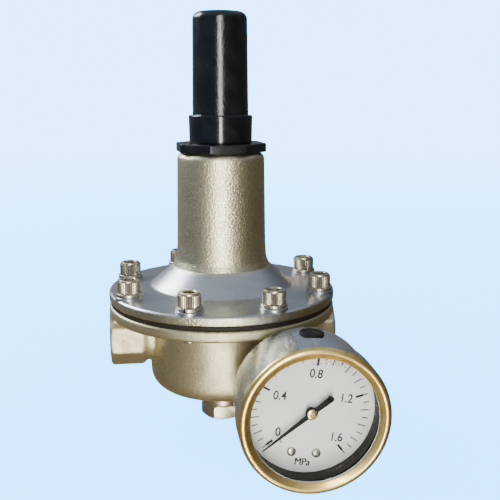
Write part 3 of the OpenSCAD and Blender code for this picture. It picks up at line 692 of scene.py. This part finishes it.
    def modify(self, kind: str, **settings: object) -> "Work":
        """Adds a modifier and applies it."""
        self.take()
        modifier = self.obj.modifiers.new(kind.lower(), kind)
        for key, setting in settings.items():
            setattr(modifier, key, setting)
        bpy.ops.object.modifier_apply(modifier=modifier.name)
        return self

    def _with(self, others: tuple["Work", ...], operation: str) -> "Work":
        """Joins, cuts or trims this work by others, which are used up."""
        for other in others:
            self.modify("BOOLEAN", operation=operation, object=other.obj, solver="EXACT")
            bpy.data.objects.remove(other.obj)
        return self

    def unite(self, *others: "Work") -> "Work":
        """Makes one solid with others."""
        return self._with(others, "UNION")

    def cut(self, *others: "Work") -> "Work":
        """Takes others away."""
        return self._with(others, "DIFFERENCE")

    def trim(self, *others: "Work") -> "Work":
        """Keeps what lies inside each of others."""
        return self._with(others, "INTERSECT")

    def gather(self, *others: "Work") -> "Work":
        """Puts others into the same piece as separate shells."""
        self.take()
        for other in others:
            other.obj.select_set(True)
        bpy.ops.object.join()
        return self

    def weld(self) -> "Work":
        """Merges doubled points and turns all faces outwards."""
        self.take()
        bpy.ops.object.mode_set(mode="EDIT")
        bpy.ops.mesh.select_all(action="SELECT")
        bpy.ops.mesh.remove_doubles(threshold=1e-6)
        bpy.ops.mesh.normals_make_consistent(inside=False)
        bpy.ops.object.mode_set(mode="OBJECT")
        return self

    def soften(self, width: float, segments: int = 2, angle: float = 35.0) -> "Work":
        """Bevels every edge sharper than angle."""
        return self.modify("BEVEL", width=width * MM, segments=segments, limit_method="ANGLE",
                           angle_limit=math.radians(angle), harden_normals=False)

    def move(self, matrix: Matrix) -> "Work":
        """Moves the mesh itself, so that the object stays at the origin."""
        self.obj.data.transform(matrix)
        return self

    def copy(self, name: str, matrix: Matrix) -> "Work":
        """A copy with its own mesh, moved."""
        return self.of_data(name, self.obj.data.copy()).move(matrix)

    def shade(self, angle: float) -> None:
        """Shades faces that meet at less than angle degrees as one."""
        self.take()
        bpy.ops.object.shade_smooth_by_angle(angle=math.radians(angle))

    def finish(self, palette: Palette, slot: str, body: str, *nodes: str,
               angle: float = 32.0) -> bpy.types.Object:
        """Makes the work a piece.

        Args:
            palette: where its finish comes from.
            slot: its material slot.
            body: the body that it rides on.
            nodes: the CAD nodes that it stands for.
            angle: faces that meet at less than this many degrees are shaded as one.

        Returns:
            The piece.
        """
        self.shade(angle)
        palette.dress(self.obj, slot)
        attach(self.obj, body)
        if nodes:
            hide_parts(*nodes)
        LOG.info("%s: %d faces on %s", self.obj.name, len(self.obj.data.polygons), body)
        return self.obj


def turned_prism(name: str, sides: int, flats: float, low: float, high: float, turn: float = 0.0,
                 share: float = 0.96) -> Work:
    """A nut-like prism whose ends are turned to a 30 degree bevel that starts at share of its flats."""
    start, outside = share * flats / 2, flats / 2 / math.cos(math.pi / sides) + 0.3
    drop = (outside - start) * math.tan(math.radians(30))
    outline = [(0, low), (start, low), (outside, low + drop), (outside, high - drop), (start, high),
               (0, high)]
    return Work.prism(name, sides, flats, low, high, turn).trim(Work.lathe("turning", outline, 64))


def rod(radius: float, low: float, high: float, steps: int = 64) -> Work:
    """A plain round bar about Z, to join to a work or to bore it with."""
    return Work.lathe("rod", [(0, low), (radius, low), (radius, high), (0, high)], steps)


def span(node: str) -> tuple[float, float]:
    """Lowest and highest point of a CAD node, in millimetres."""
    low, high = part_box(node)
    return low.z / MM, high.z / MM


# ---------------------------------------------------------------- sub-assemblies


@dataclass
class Body:
    """Body casting with its threaded ends, the bottom plug and the diaphragm."""

    palette: Palette
    voxel: float = 0.8
    face: float = 52.4
    bore_r: float = 9.3
    thread_depth: float = 14.0
    pitch: float = 1.814
    plug_flats: float = 18.0
    plug_hex_h: float = 6.9
    plug_collar_h: float = 3.7
    plug_collar_r: float = 10.5
    plug_bore_r: float = 4.3
    gasket_in: float = 9.1
    gasket_out: float = 11.0
    stem_hole_r: float = 4.1
    plate_r: float = 22.0

    def casting(self) -> None:
        """The casting, with every foundry edge softened."""
        work = Work.copy_of("body_casting_skin", "body_casting")
        work.modify("REMESH", mode="VOXEL", voxel_size=self.voxel * MM, use_smooth_shade=True)
        work.modify("SMOOTH", factor=0.5, iterations=3)
        work.finish(self.palette, "cast_body", "root", "body_casting", angle=80)

    def threads(self) -> None:
        """Pipe threads inside both ends."""
        for name, turn in (("outlet_thread", 90.0), ("inlet_thread", -90.0)):
            ridge = Work.ridge(name, self.bore_r + 0.35, self.bore_r - 0.6, self.pitch,
                               self.face - self.thread_depth, self.face - 0.8)
            ridge.move(Matrix.Rotation(math.radians(turn), 4, "Y"))
            ridge.finish(self.palette, "plug_steel", "root")

    def plug(self) -> None:
        """Bottom plug: hexagon, collar and the hidden thread with its spring pocket."""
        low, high = span("bottom_plug")
        collar_r = self.plug_collar_r
        hex_top = low + self.plug_hex_h
        collar_top = hex_top + self.plug_collar_h
        screw_r = collar_r - 1.5
        outline = rounded([
            (0, hex_top - 0.5, 0), (collar_r - 1.2, hex_top - 0.5, 0), (collar_r - 0.9, hex_top, 0.2),
            (collar_r, hex_top + 0.5, 0.5), (collar_r, collar_top, 0.5), (screw_r, collar_top, 0),
            (screw_r, high, 0.4), (self.plug_bore_r, high, 0.2), (self.plug_bore_r, high - 4, 0),
            (0, high - 4, 0)])
        work = turned_prism("bottom_plug_piece", 6, self.plug_flats, low, hex_top + 0.2, 0.0, 0.95)
        work.soften(0.28).unite(Work.lathe("collar", outline, 96))
        work.finish(self.palette, "plug_steel", "root", "bottom_plug", angle=28)

    def gasket(self) -> None:
        """Flat ring between the plug and its boss, squeezed out a little."""
        low, high = span("plug_gasket")
        outline = rounded([(self.gasket_in, low, 0), (self.gasket_out, low, 0.4),
                           (self.gasket_out, high, 0.4), (self.gasket_in, high, 0)])
        Work.lathe("plug_gasket_piece", outline).finish(self.palette, "gasket", "root", "plug_gasket")

    def diaphragm(self) -> None:
        """The clamped rim stays with the body, and the middle goes with the stem."""
        low, high = span("diaphragm")
        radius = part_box("diaphragm")[1].x / MM
        inner = self.plate_r + 0.4
        lip = rounded([(inner, low, 0), (radius - 0.5, low, 0), (radius, low + 0.35, 0.3),
                       (radius - 0.1, (low + high) / 2, 0.3), (radius, high - 0.35, 0.3),
                       (radius - 0.5, high, 0), (inner, high, 0)])
        Work.lathe("diaphragm_rim", lip, 160).finish(self.palette, "diaphragm", "root", "diaphragm")
        hole = self.stem_hole_r
        disc = [(hole, low), (self.plate_r, low), (self.plate_r, high), (hole, high)]
        Work.lathe("diaphragm_middle", disc).finish(self.palette, "diaphragm", "stem", "diaphragm")

    def build(self) -> None:
        """Builds every piece of the body."""
        self.casting()
        self.threads()
        self.plug()
        self.gasket()
        self.diaphragm()


@dataclass
class Cover:
    """Bonnet with its flange screws and washers."""

    palette: Palette
    rim_t: float = 4.3
    shoulder: float = 3.5
    cone_r: float = 33.3
    screw_r: float = 46.4
    screws: int = 8
    head_r: float = 5.0
    head_h: float = 6.0
    shank_r: float = 3.0
    key: float = 5.0
    knurls: int = 36
    nut_bore_r: float = 15.05
    bore_r: float = 16.5

    def bonnet(self) -> None:
        """Flange, shallow cone, steep cone and spring housing, with spot faces under the screws."""
        low, top = span("bonnet")
        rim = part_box("bonnet")[1].x / MM
        rim_top = low + self.rim_t
        outline = rounded([
            (30.0, low, 0), (rim, low, 0.7), (rim, rim_top, 1.3), (self.cone_r, rim_top + 1.6, 3.0),
            (22.4, rim_top + 10.8, 1.2), (21.0, rim_top + 14.1, 6.0), (20.5, rim_top + 20.8, 8.0),
            (19.95, top - 6, 0)], 7)
        outline += arc((19.9 - self.shoulder, top - self.shoulder), self.shoulder, 0, 90)
        outline += [(self.nut_bore_r, top), (self.nut_bore_r, top - 10.5), (self.bore_r, top - 10.5),
                    (self.bore_r, rim_top + 9.6), (29.0, rim_top - 0.8)]
        work = Work.lathe("bonnet_skin", outline, 160)
        hole = self.shank_r + 0.3
        spot_face = rounded([(hole, rim_top - 1.0, 0), (self.head_r + 1.2, rim_top - 1.0, 0),
                             (self.head_r + 1.0, rim_top + 1.1, 0.3), (hole, rim_top + 1.1, 0)])
        pad = Work.lathe("pad", spot_face, 48)
        for i in range(self.screws):
            work.unite(pad.copy(f"pad_{i}", self.seat(i)))
        bpy.data.objects.remove(pad.obj)
        work.finish(self.palette, "cast_bonnet", "root", "bonnet", angle=30)

    def seat(self, i: int) -> Matrix:
        """Where screw i stands."""
        turn = Matrix.Rotation(math.radians(180 / self.screws + 360 * i / self.screws), 4, "Z")
        return turn @ Matrix.Translation((self.screw_r * MM, 0, 0))

    def screw(self) -> Work:
        """One socket head cap screw with a knurled head."""
        low, top = span("flange_screws")
        foot = top - self.head_h
        head = Work.prism("flange_screw", self.knurls * 2, self.head_r * 2, foot, top)
        for vertex in head.obj.data.vertices:
            angle = math.atan2(vertex.co.y, vertex.co.x) / (2 * math.pi) * self.knurls * 2
            depth = 0.955 if round(angle) % 2 else 1.0
            vertex.co.x *= depth
            vertex.co.y *= depth
        outer, inner = self.head_r + 0.05, self.head_r - 0.5
        shape = [(0, foot), (inner, foot), (outer, foot + 0.35), (outer, top - 0.9),
                 (inner + 0.05, top - 0.75), (inner - 0.1, top - 0.15), (inner - 0.35, top), (0, top)]
        head.trim(Work.lathe("turning", shape, 72))
        socket = Work.prism("socket", 6, self.key, top - self.head_h / 2, top + 1)
        funnel = [(0, top - 0.35), (2.75, top - 0.35), (3.25, top + 0.2), (0, top + 0.2)]
        head.cut(socket, Work.lathe("mouth", funnel, 48))
        radius = self.shank_r
        shank = [(0, low), (radius - 0.5, low), (radius, low + 0.5), (radius, foot + 0.4), (0, foot + 0.4)]
        head.unite(Work.lathe("shank", shank, 32))
        return head

    def washer(self) -> Work:
        """One split spring washer, its ends sprung a little apart."""
        low, high = span("spring_washers")
        outline = rounded([(3.15, low, 0.1), (5.7, low, 0.3), (5.7, high, 0.3), (3.15, high, 0.1)], 3)
        ring = Work.lathe("spring_washer", outline, 64)
        slot = Work.block("slot", (1.0, -0.35, low - 1), (8.0, 0.35, high + 1))
        slot.move(Matrix.Rotation(math.radians(100), 4, "Z"))
        return ring.cut(slot)

    def fasteners(self) -> None:
        """Copies the screw and its washer to each seat, each turned its own way."""
        screw, washer = self.screw(), self.washer()
        for i in range(self.screws):
            turn = Matrix.Rotation(math.radians(23 + 47 * i), 4, "Z")
            screw.copy(f"flange_screw_{i + 1}", self.seat(i) @ turn).finish(
                self.palette, "screw_steel", "root", "flange_screws", angle=25)
            washer.copy(f"spring_washer_{i + 1}", self.seat(i) @ turn).finish(
                self.palette, "washer_steel", "root", "spring_washers")
        for work in (screw, washer):
            bpy.data.objects.remove(work.obj)

    def build(self) -> None:
        """Builds every piece of the cover."""
        self.bonnet()
        self.fasteners()


@dataclass
class Setting:
    """Octagonal nut, cap, adjusting screw, lock nut and the two springs."""

    palette: Palette
    nut_flats: float = 39.0
    nut_turn: float = 4.3
    nut_t: float = 4.0
    bush_r: float = 15.0
    screw_hole_r: float = 5.05
    cap_r: float = 12.6
    cap_taper: float = 0.5
    collar_r: float = 14.4
    collar_h: float = 12.2
    bore_r: float = 10.2
    spigot_r: float = 10.3
    lock_flats: float = 17.0
    adjuster_r: float = 5.0
    adjuster_pitch: float = 1.5
    hex_l: float = 8.0
    spring_r: float = 12.5
    wire_r: float = 2.0
    return_wire_r: float = 0.6
    turns: float = 7.0

    def nut(self) -> None:
        """Octagonal nut with its bush below and spigot above."""
        low, high = span("octagonal_nut")
        foot = span("bonnet")[1]
        top = foot + self.nut_t
        hole = self.screw_hole_r
        plate = Work.prism("octagonal_nut_piece", 8, self.nut_flats, foot + 0.02, top, self.nut_turn)
        plate.soften(0.55, 3)
        stub = rounded([(hole, low, 0), (self.bush_r, low, 0.3), (self.bush_r, foot + 1, 0),
                        (self.spigot_r, top - 1, 0), (self.spigot_r, high, 0.4), (hole, high, 0.4)])
        plate.cut(rod(hole, foot - 1, top + 1))
        plate.unite(Work.lathe("stub", stub, 96))
        plate.finish(self.palette, "black_nut", "root", "octagonal_nut", angle=40)

    def cap(self) -> None:
        """Cap: long tube with a round top edge, on a wider collar."""
        low, high = span("cap")
        shoulder = low + self.collar_h
        mouth, wide, bore = self.spigot_r + 0.6, self.collar_r, self.bore_r
        outline = rounded([
            (mouth, low, 0.2), (wide - 0.2, low, 0.4), (wide, shoulder - 0.6, 0), (wide - 0.2, shoulder, 1.1),
            (self.cap_r, shoulder + 0.1, 0.35), (self.cap_r - self.cap_taper, high, 3.4), (0, high, 0),
            (0, high - 2.4, 0), (bore, high - 2.4, 1.0), (bore, low + 6.6, 0), (mouth, low + 6.6, 0)], 8)
        Work.lathe("cap_piece", outline, 160).finish(self.palette, "black_cap", "cap", "cap", angle=40)

    def adjuster(self) -> None:
        """Adjusting screw with its thread, point and hexagon end, and the lock nut on it."""
        low, high = span("adjusting_screw")
        hexagon_foot = high - self.hex_l
        core = [(0, low), (1.2, low), (4.4, low + 1.8), (4.4, hexagon_foot + 0.5), (0, hexagon_foot + 0.5)]
        work = Work.lathe("adjusting_screw_piece", core, 48)
        end = turned_prism("end", 6, self.adjuster_r * 1.6, hexagon_foot, high, 0.0, 0.95).soften(0.2)
        thread = Work.ridge("thread", 4.3, self.adjuster_r - 0.05, self.adjuster_pitch, low + 2.0,
                            hexagon_foot - 0.2)
        work.gather(end, thread)
        work.finish(self.palette, "inner_steel", "adjusting_screw", "adjusting_screw", angle=30)
        low, high = span("lock_nut")
        nut = turned_prism("lock_nut_piece", 6, self.lock_flats, low, high, 0.0, 0.95).soften(0.22)
        nut.cut(rod(self.screw_hole_r + 0.03, low - 1, high + 1))
        nut.finish(self.palette, "inner_steel", "lock_nut", "lock_nut")

    def coil(self, name: str, low: float, high: float, radius: float, wire: float) -> Work:
        """A compression spring whose end turns are closed.

        Args:
            name: the piece's name.
            low: the height of its foot.
            high: the height of its top.
            radius: its mean radius.
            wire: its wire's radius.

        Returns:
            The work.
        """
        closed = 2.1 * wire
        free = (high - low - 2 * wire - 2 * closed) / (self.turns - 2)
        points = []
        steps = 32
        for i in range(int(self.turns * steps) + 1):
            turn = i / steps
            rise = min(turn, 1) * closed + min(max(turn - 1, 0), self.turns - 2) * free
            rise += max(turn - (self.turns - 1), 0) * closed
            angle = 2 * math.pi * turn
            points.append(Vector((radius * math.cos(angle), radius * math.sin(angle), low + wire + rise)))
        return Work.wire(name, points, wire)

    def springs(self) -> None:
        """Main spring under the button, and return spring under the disc."""
        low, high = span("main_spring")
        main = self.coil("main_spring_piece", low, high, self.spring_r, self.wire_r)
        self.stretch(main, "spring_button", "main_spring")
        low, high = span("return_spring")
        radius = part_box("return_spring")[1].x / MM - self.return_wire_r
        back = self.coil("return_spring_piece", low, high, radius, self.return_wire_r)
        self.stretch(back, "stem", "return_spring")

    def stretch(self, work: Work, body: str, node: str) -> None:
        """Shades and dresses a spring that stands between the root at its foot and the body at its top, and hides
        its node.
        """
        work.shade(60)
        self.palette.dress(work.obj, "spring_steel")
        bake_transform(work.obj)
        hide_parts(node)
        LOG.info("%s: %d faces between root and %s", work.obj.name, len(work.obj.data.polygons), body)

    def build(self) -> None:
        """Builds every piece of the spring setting."""
        self.nut()
        self.cap()
        self.adjuster()
        self.springs()


@dataclass
class Gauge:
    """Pressure gauge in its own frame: x to the right, y up the dial, z towards the reader, 0 on the dial."""

    palette: Palette
    case_r: float = 28.85
    case_back: float = 20.0
    wall: float = 1.0
    socket_r: float = 6.9
    rim_z: float = 5.2
    bezel_r: float = 30.0
    lip_r: float = 1.9
    reach: float = 11.8
    window_z: float = 6.4
    window_t: float = 3.0
    window_r: float = 28.4
    aperture_r: float = 25.3
    dial_r: float = 27.4
    tick_r: float = 23.9
    figures: tuple[Point, ...] = ((-11.7, -9.9), (-13.1, 5.2), (0.0, 15.4), (13.7, 6.2), (12.3, -10.4))
    sweep: float = 270.0
    full_scale: float = 1.6

    def __post_init__(self) -> None:
        """Finds the gauge's frame from the dial, the bezel and the sector's pivot."""
        bezel_low, bezel_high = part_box("gauge_bezel")
        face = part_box("gauge_dial")[0].y
        centre = (bezel_low + bezel_high) / 2
        joint = {j["name"]: j for j in frame["joints"]}
        hub, pivot = (Vector(joint[name]["pos_m"]) for name in ("pointer_turn", "sector_turn"))
        roll = math.atan2(hub.x - pivot.x, hub.z - pivot.z)
        self.frame = (Matrix.Translation((centre.x, face, centre.z)) @ Matrix.Rotation(math.pi / 2, 4, "X")
                      @ Matrix.Rotation(-roll, 4, "Z"))

    def case(self) -> None:
        """Drawn case: rounded back corner, a bead near the front, and a hole for the filler plug."""
        r, back = self.case_r, -self.case_back
        outline = rounded([
            (self.socket_r, back, 0), (r, back, 2.4), (r, -3.0, 0.4), (r - 0.5, -2.4, 0.4),
            (r - 0.5, -1.5, 0.4), (r, -0.9, 0.3), (r, self.rim_z, 0.3), (r - self.wall, self.rim_z, 0),
            (r - self.wall, back + self.wall, 1.4), (self.socket_r, back + self.wall, 0)], 8)
        case = Work.lathe("gauge_case_piece", outline, 160)
        case.move(self.frame).finish(self.palette, "gauge_case", "root", "gauge_case", angle=35)

    def bezel(self) -> None:
        """Rolled brass ring: silvered foot, proud lip, and a face that slopes in to the window."""
        r, lip, eye = self.bezel_r, self.lip_r, self.aperture_r
        foot, seat, top = self.case_r + 0.1, self.window_r + 0.1, self.window_z + self.window_t
        ring = [(foot, -0.6), (r - 0.35, -0.6), (r, -0.2)]
        ring += arc((r - lip, self.reach - lip), lip, 0, 115, 14)
        ring += [(eye + 0.9, top + 1.25), (eye + 0.25, top + 0.95), (eye, top + 0.6), (eye, top), (seat, top),
                 (seat, self.window_z - 0.4), (foot, self.window_z - 0.4)]
        work = Work.lathe("gauge_bezel_piece", ring, 180)
        work.move(self.frame).finish(self.palette, "gauge_bezel", "root", "gauge_bezel", angle=35)

    def window(self) -> None:
        """Window, with the meniscus of the bubble under it."""
        z, t, r = self.window_z, self.window_t, self.window_r
        outline = rounded([(0, z, 0), (r, z, 0.2), (r, z + t, 0.2), (0, z + t, 0)])
        pane = Work.lathe("gauge_window_piece", outline, 128)
        pane.move(self.frame).finish(self.palette, "gauge_window", "root", "gauge_window")
        crest = [Vector((x * 0.5, 22.4 - 0.02 * (x * 0.5 - 3) ** 2 + 0.5 * math.sin(x * 1.3), z - 0.25))
                 for x in range(-8, 21)]
        line = Work.wire("bubble_edge", crest, 0.11, 2).move(self.frame)
        line.finish(self.palette, "dial_screws", "root")

    def dial_mark(self, share: float) -> float:
        """Angle from straight up, anticlockwise in degrees, of a share of the scale."""
        return self.sweep / 2 - self.sweep * share

    def ticks(self) -> Work:
        """Scale lines: 32 steps, each second longer and each eighth bold at its inner end."""
        marks: list[Work] = []
        for i in range(33):
            length = 5.0 if i % 8 == 0 else 3.5 if i % 2 == 0 else 2.4
            bars = [(0.42, self.tick_r - length, self.tick_r)]
            if i % 8 == 0:
                bars.append((0.9, self.tick_r - length, self.tick_r - 1.9))
            for width, inner, outer in bars:
                high = 0.07 + 0.1 * width
                bar = Work.block(f"tick_{i}", (-width / 2, inner, 0.02), (width / 2, outer, high))
                marks.append(bar.move(Matrix.Rotation(math.radians(self.dial_mark(i / 32)), 4, "Z")))
        return marks[0].gather(*marks[1:])

    def lettering(self, text: str, size: float, weight: float, x: float, y: float) -> Work:
        """Flat print on the dial, centred on a point and thickened by weight."""
        Work.clear()
        bpy.ops.object.text_add()
        label = bpy.context.object
        label.data.body = text
        label.data.size = size * MM
        label.data.align_x = "CENTER"
        label.data.align_y = "CENTER"
        label.data.extrude = 0.02 * MM
        label.data.offset = weight * MM
        bpy.ops.object.convert(target="MESH")
        print_height = Matrix.Translation((x * MM, y * MM, 0.045 * MM))
        return Work(f"print_{text}").move(print_height @ Matrix.Diagonal((0.86, 1.0, 1.0, 1.0)))

    def dial(self) -> None:
        """Dial plate with its print."""
        outline = rounded([(1.6, -0.8, 0), (self.dial_r, -0.8, 0.1), (self.dial_r, 0, 0.15), (1.6, 0, 0)], 2)
        Work.lathe("gauge_dial_piece", outline, 128).move(self.frame).finish(
            self.palette, "dial_white", "root", "gauge_dial")
        marks = self.ticks()
        for i, (x, y) in enumerate(self.figures):
            text = "0" if i == 0 else f"{self.full_scale * i / (len(self.figures) - 1):.1f}"
            marks.gather(self.lettering(text, 5.2, 0.085, x, y))
        for shift in (-0.1, 0.1):
            marks.gather(self.lettering("MPa", 4.4, 0.0, shift, -21.9 + shift / 3))
        marks.obj.name = "dial_print"
        print_work = marks.move(self.frame)
        piece = print_work.finish(self.palette, "dial_white", "root")
        piece.data.materials[0] = self.palette.ink

    def trim_screws(self) -> None:
        """Two domed screws with crossed slots, low on the dial."""
        for side, name in ((-1, "dial_screw_left"), (1, "dial_screw_right")):
            dome = [(0, -0.1), (1.95, -0.1)] + arc((1.0, 0.15), 0.95, 0, 60, 6) + [(0, 1.15)]
            head = Work.lathe(name, dome, 48)
            for turn in (20.0, 110.0):
                slot = Work.block("slot", (-1.3, -0.2, 0.55), (1.3, 0.2, 2.0))
                head.cut(slot.move(Matrix.Rotation(math.radians(turn + 30 * side), 4, "Z")))
            head.move(self.frame @ Matrix.Translation((side * 5.1 * MM, -17.6 * MM, 0)))
            head.finish(self.palette, "dial_screws", "root", "dial_screws")

    def needle(self) -> None:
        """Pointer with a round-ended tail, and the brass boss that holds it."""
        z, t, hole, tail_end = 2.6, 0.5, 0.72, -9.4
        hub = rounded([(hole, z, 0), (2.6, z, 0.1), (2.6, z + t, 0.15), (hole, z + t, 0)])
        work = Work.lathe("pointer_piece", hub, 64)
        blade = Work.block("blade", (-1.05, 0, z), (1.05, 24.3, z + t))
        for vertex in blade.obj.data.vertices:
            vertex.co.x *= 0.16 if vertex.co.y > 0.02 else 1.0
        tail = Work.block("tail", (-1.3, tail_end, z), (1.3, 0, z + t))
        for vertex in tail.obj.data.vertices:
            vertex.co.x *= 0.66 if vertex.co.y > -0.001 else 1.0
        end = rod(1.3, z, z + t, 32).move(Matrix.Translation((0, tail_end * MM, 0)))
        work.unite(blade, tail, end).cut(rod(hole, z - 1, z + 2, 32))
        turn = Matrix.Rotation(math.radians(self.sweep / 2), 4, "Z")
        work.soften(0.08, 2, 50).move(self.frame @ turn)
        work.finish(self.palette, "pointer_black", "pointer", "pointer")
        boss = rounded([(hole, z + t, 0), (2.1, z + t, 0.1), (2.1, z + 1.5, 0.3), (1.2, z + 1.7, 0.1),
                        (hole, z + 1.7, 0)])
        Work.lathe("pointer_boss_piece", boss, 64).move(self.frame).finish(
            self.palette, "movement_brass", "pointer", "pointer_boss")

    def filler(self) -> None:
        """Rubber filler plug on top of the case: a low domed button with a shallow ring."""
        r = self.case_r
        outline = rounded([(0, r - 2.4, 0), (3.9, r - 2.4, 0.3), (3.9, r - 0.6, 0), (5.0, r - 0.6, 0.2),
                           (5.0, r + 0.8, 0.5), (3.9, r + 1.0, 0.2), (3.5, r + 0.8, 0.2),
                           (2.6, r + 0.85, 0.2), (0, r + 1.0, 0)], 4)
        plug = Work.lathe("filler_plug_piece", outline, 64)
        side = Matrix.Rotation(math.radians(4), 4, "Z") @ Matrix.Translation((0, 0, -9 * MM))
        plug.move(self.frame @ side @ Matrix.Rotation(-math.pi / 2, 4, "X"))
        plug.finish(self.palette, "gasket", "root", "filler_plug")

    def build(self) -> None:
        """Builds every piece of the gauge."""
        self.case()
        self.bezel()
        self.window()
        self.dial()
        self.trim_screws()
        self.needle()
        self.filler()


class CarriedOver:
    """CAD nodes whose shape is right: each keeps it and gets its finish."""

    def __init__(self, palette: Palette) -> None:
        """Reads each node's material slot from the record."""
        self.palette = palette
        self.slots = {part["node"]: part["material_slot"] for part in frame["record"]["subparts"]}

    def build(self) -> None:
        """Dresses every node that is still shown."""
        for node, piece in frame["nodes"].items():
            if not piece.hide_render:
                self.palette.dress(piece, self.slots[node])
                LOG.info("%s keeps its shape in %s", node, self.slots[node])


# ---------------------------------------------------------------- studio


@dataclass
class Studio:
    """Pale floor that glows with painted light, soft lights and the camera."""

    lens: float = 54.5
    heading: float = 7.8
    pitch: float = 11.9
    stand: Vector = Vector((-0.0339, -0.3456, 0.1113))

    def camera(self) -> None:
        """Camera at the height and side that the valve is seen from."""
        data = bpy.data.cameras.new("camera")
        data.lens = self.lens
        data.clip_start, data.clip_end = 0.01, 20.0
        camera = bpy.data.objects.new("camera", data)
        bpy.context.scene.collection.objects.link(camera)
        camera.location = self.stand
        camera.rotation_euler = (math.radians(90 - self.pitch), 0, math.radians(-self.heading))
        bpy.context.scene.camera = camera

    def floor(self) -> None:
        """Seamless round floor that curves up into a wall on every side, glowing with painted light that is
        brighter up the wall.
        """
        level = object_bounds()[0].z / MM - 0.5
        bend, wall, height = 700.0, 2600.0, 3500.0
        profile = [(0.0, level), (wall - bend, level)] + arc((wall - bend, level + bend), bend, -80, 0, 8)
        profile += [(wall, level + height), (wall + 1, level + height), (wall + 1, level - 1),
                    (0.0, level - 1)]
        work = Work.lathe("studio_floor", profile, 96)
        work.shade(60)
        sweep = work.obj
        made, graph = new_material("studio_paper")
        x, y, z = graph.parts(graph.place())
        # Painted light: the paper glows, brighter and paler away from the middle and up the wall.
        rise = ((x * x + y * y) ** 0.5 * 0.8 + z * 2.0).over(-0.6, 1.4)
        tone = graph.blend(rise, (0.012, 0.35, 0.88), (0.16, 0.52, 1.0))
        paper = graph.blend(rise, (0.10, 0.26, 0.34), (0.16, 0.26, 0.32))
        graph.surface({"Base Color": paper, "Roughness": 0.9, "Specular IOR Level": 0.1,
                       "Emission Color": tone, "Emission Strength": 9.5})
        sweep.data.materials.append(made)
        sweep.visible_glossy = False
        sweep.visible_diffuse = False
        sweep.visible_shadow = False
        sweep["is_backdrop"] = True

    def lamp(self, name: str, power: float, size: tuple[float, float], stand: Vector, aim: Vector,
             colour: Colour) -> None:
        """A rectangular soft light.

        Args:
            name: its name.
            power: its power in watts.
            size: its width and height in metres.
            stand: where it stands.
            aim: what it points at.
            colour: its colour.
        """
        data = bpy.data.lights.new(name, "AREA")
        data.energy, data.shape, data.color = power, "RECTANGLE", colour
        data.size, data.size_y = size
        lamp = bpy.data.objects.new(name, data)
        bpy.context.scene.collection.objects.link(lamp)
        lamp.location = stand
        lamp.rotation_euler = (aim - stand).to_track_quat("-Z", "Y").to_euler()

    def sky(self) -> None:
        """Surroundings: cool from above and the left, warm and darker low on the right."""
        world = bpy.data.worlds.new("studio")
        bpy.context.scene.world = world
        world.use_nodes = True
        graph = Graph(world.node_tree)
        way = graph.node("ShaderNodeTexCoord", {}, {}).outputs["Generated"]
        x, _, z = graph.parts(way)
        tone = graph.blend(z.over(-0.4, 0.25), (0.27, 0.21, 0.12), (0.29, 0.33, 0.39))
        tone = graph.blend(z.over(0.3, 0.85), tone, (0.62, 0.70, 0.84))
        side = x.over(0.1, 0.8) * z.over(0.8, 0.3)
        tone = graph.blend(side * 0.8, tone, (0.075, 0.055, 0.032))
        left = x.over(-0.1, -0.75) * z.over(0.7, 0.2) * z.over(-0.5, 0.0)
        tone = graph.blend(left * 0.9, tone, (0.18, 0.235, 0.36))
        shade = graph.node("ShaderNodeBackground", {}, {"Color": tone, "Strength": 0.75})
        graph.node("ShaderNodeOutputWorld", {}, {0: shade.outputs[0]})

    def build(self) -> None:
        """Sets the studio up."""
        self.camera()
        self.floor()
        self.sky()
        aim = Vector((0, 0, 0.05))
        self.lamp("key", 19.0, (0.13, 1.5), Vector((-0.085, -0.95, -0.05)), aim, (1.0, 0.975, 0.90))
        self.lamp("window", 12.0, (0.6, 0.4), Vector((-0.68, 0.50, 0.62)), aim, (0.93, 0.96, 1.0))


def main() -> None:
    """Builds the valve and its studio, and reports each piece."""
    logging.basicConfig(level=logging.INFO, format="%(name)s %(message)s")
    Studio().build()
    palette = Palette()
    for assembly in (Body(palette), Cover(palette), Setting(palette), Gauge(palette), CarriedOver(palette)):
        assembly.build()
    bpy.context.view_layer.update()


if __name__ == "__main__":
    main()
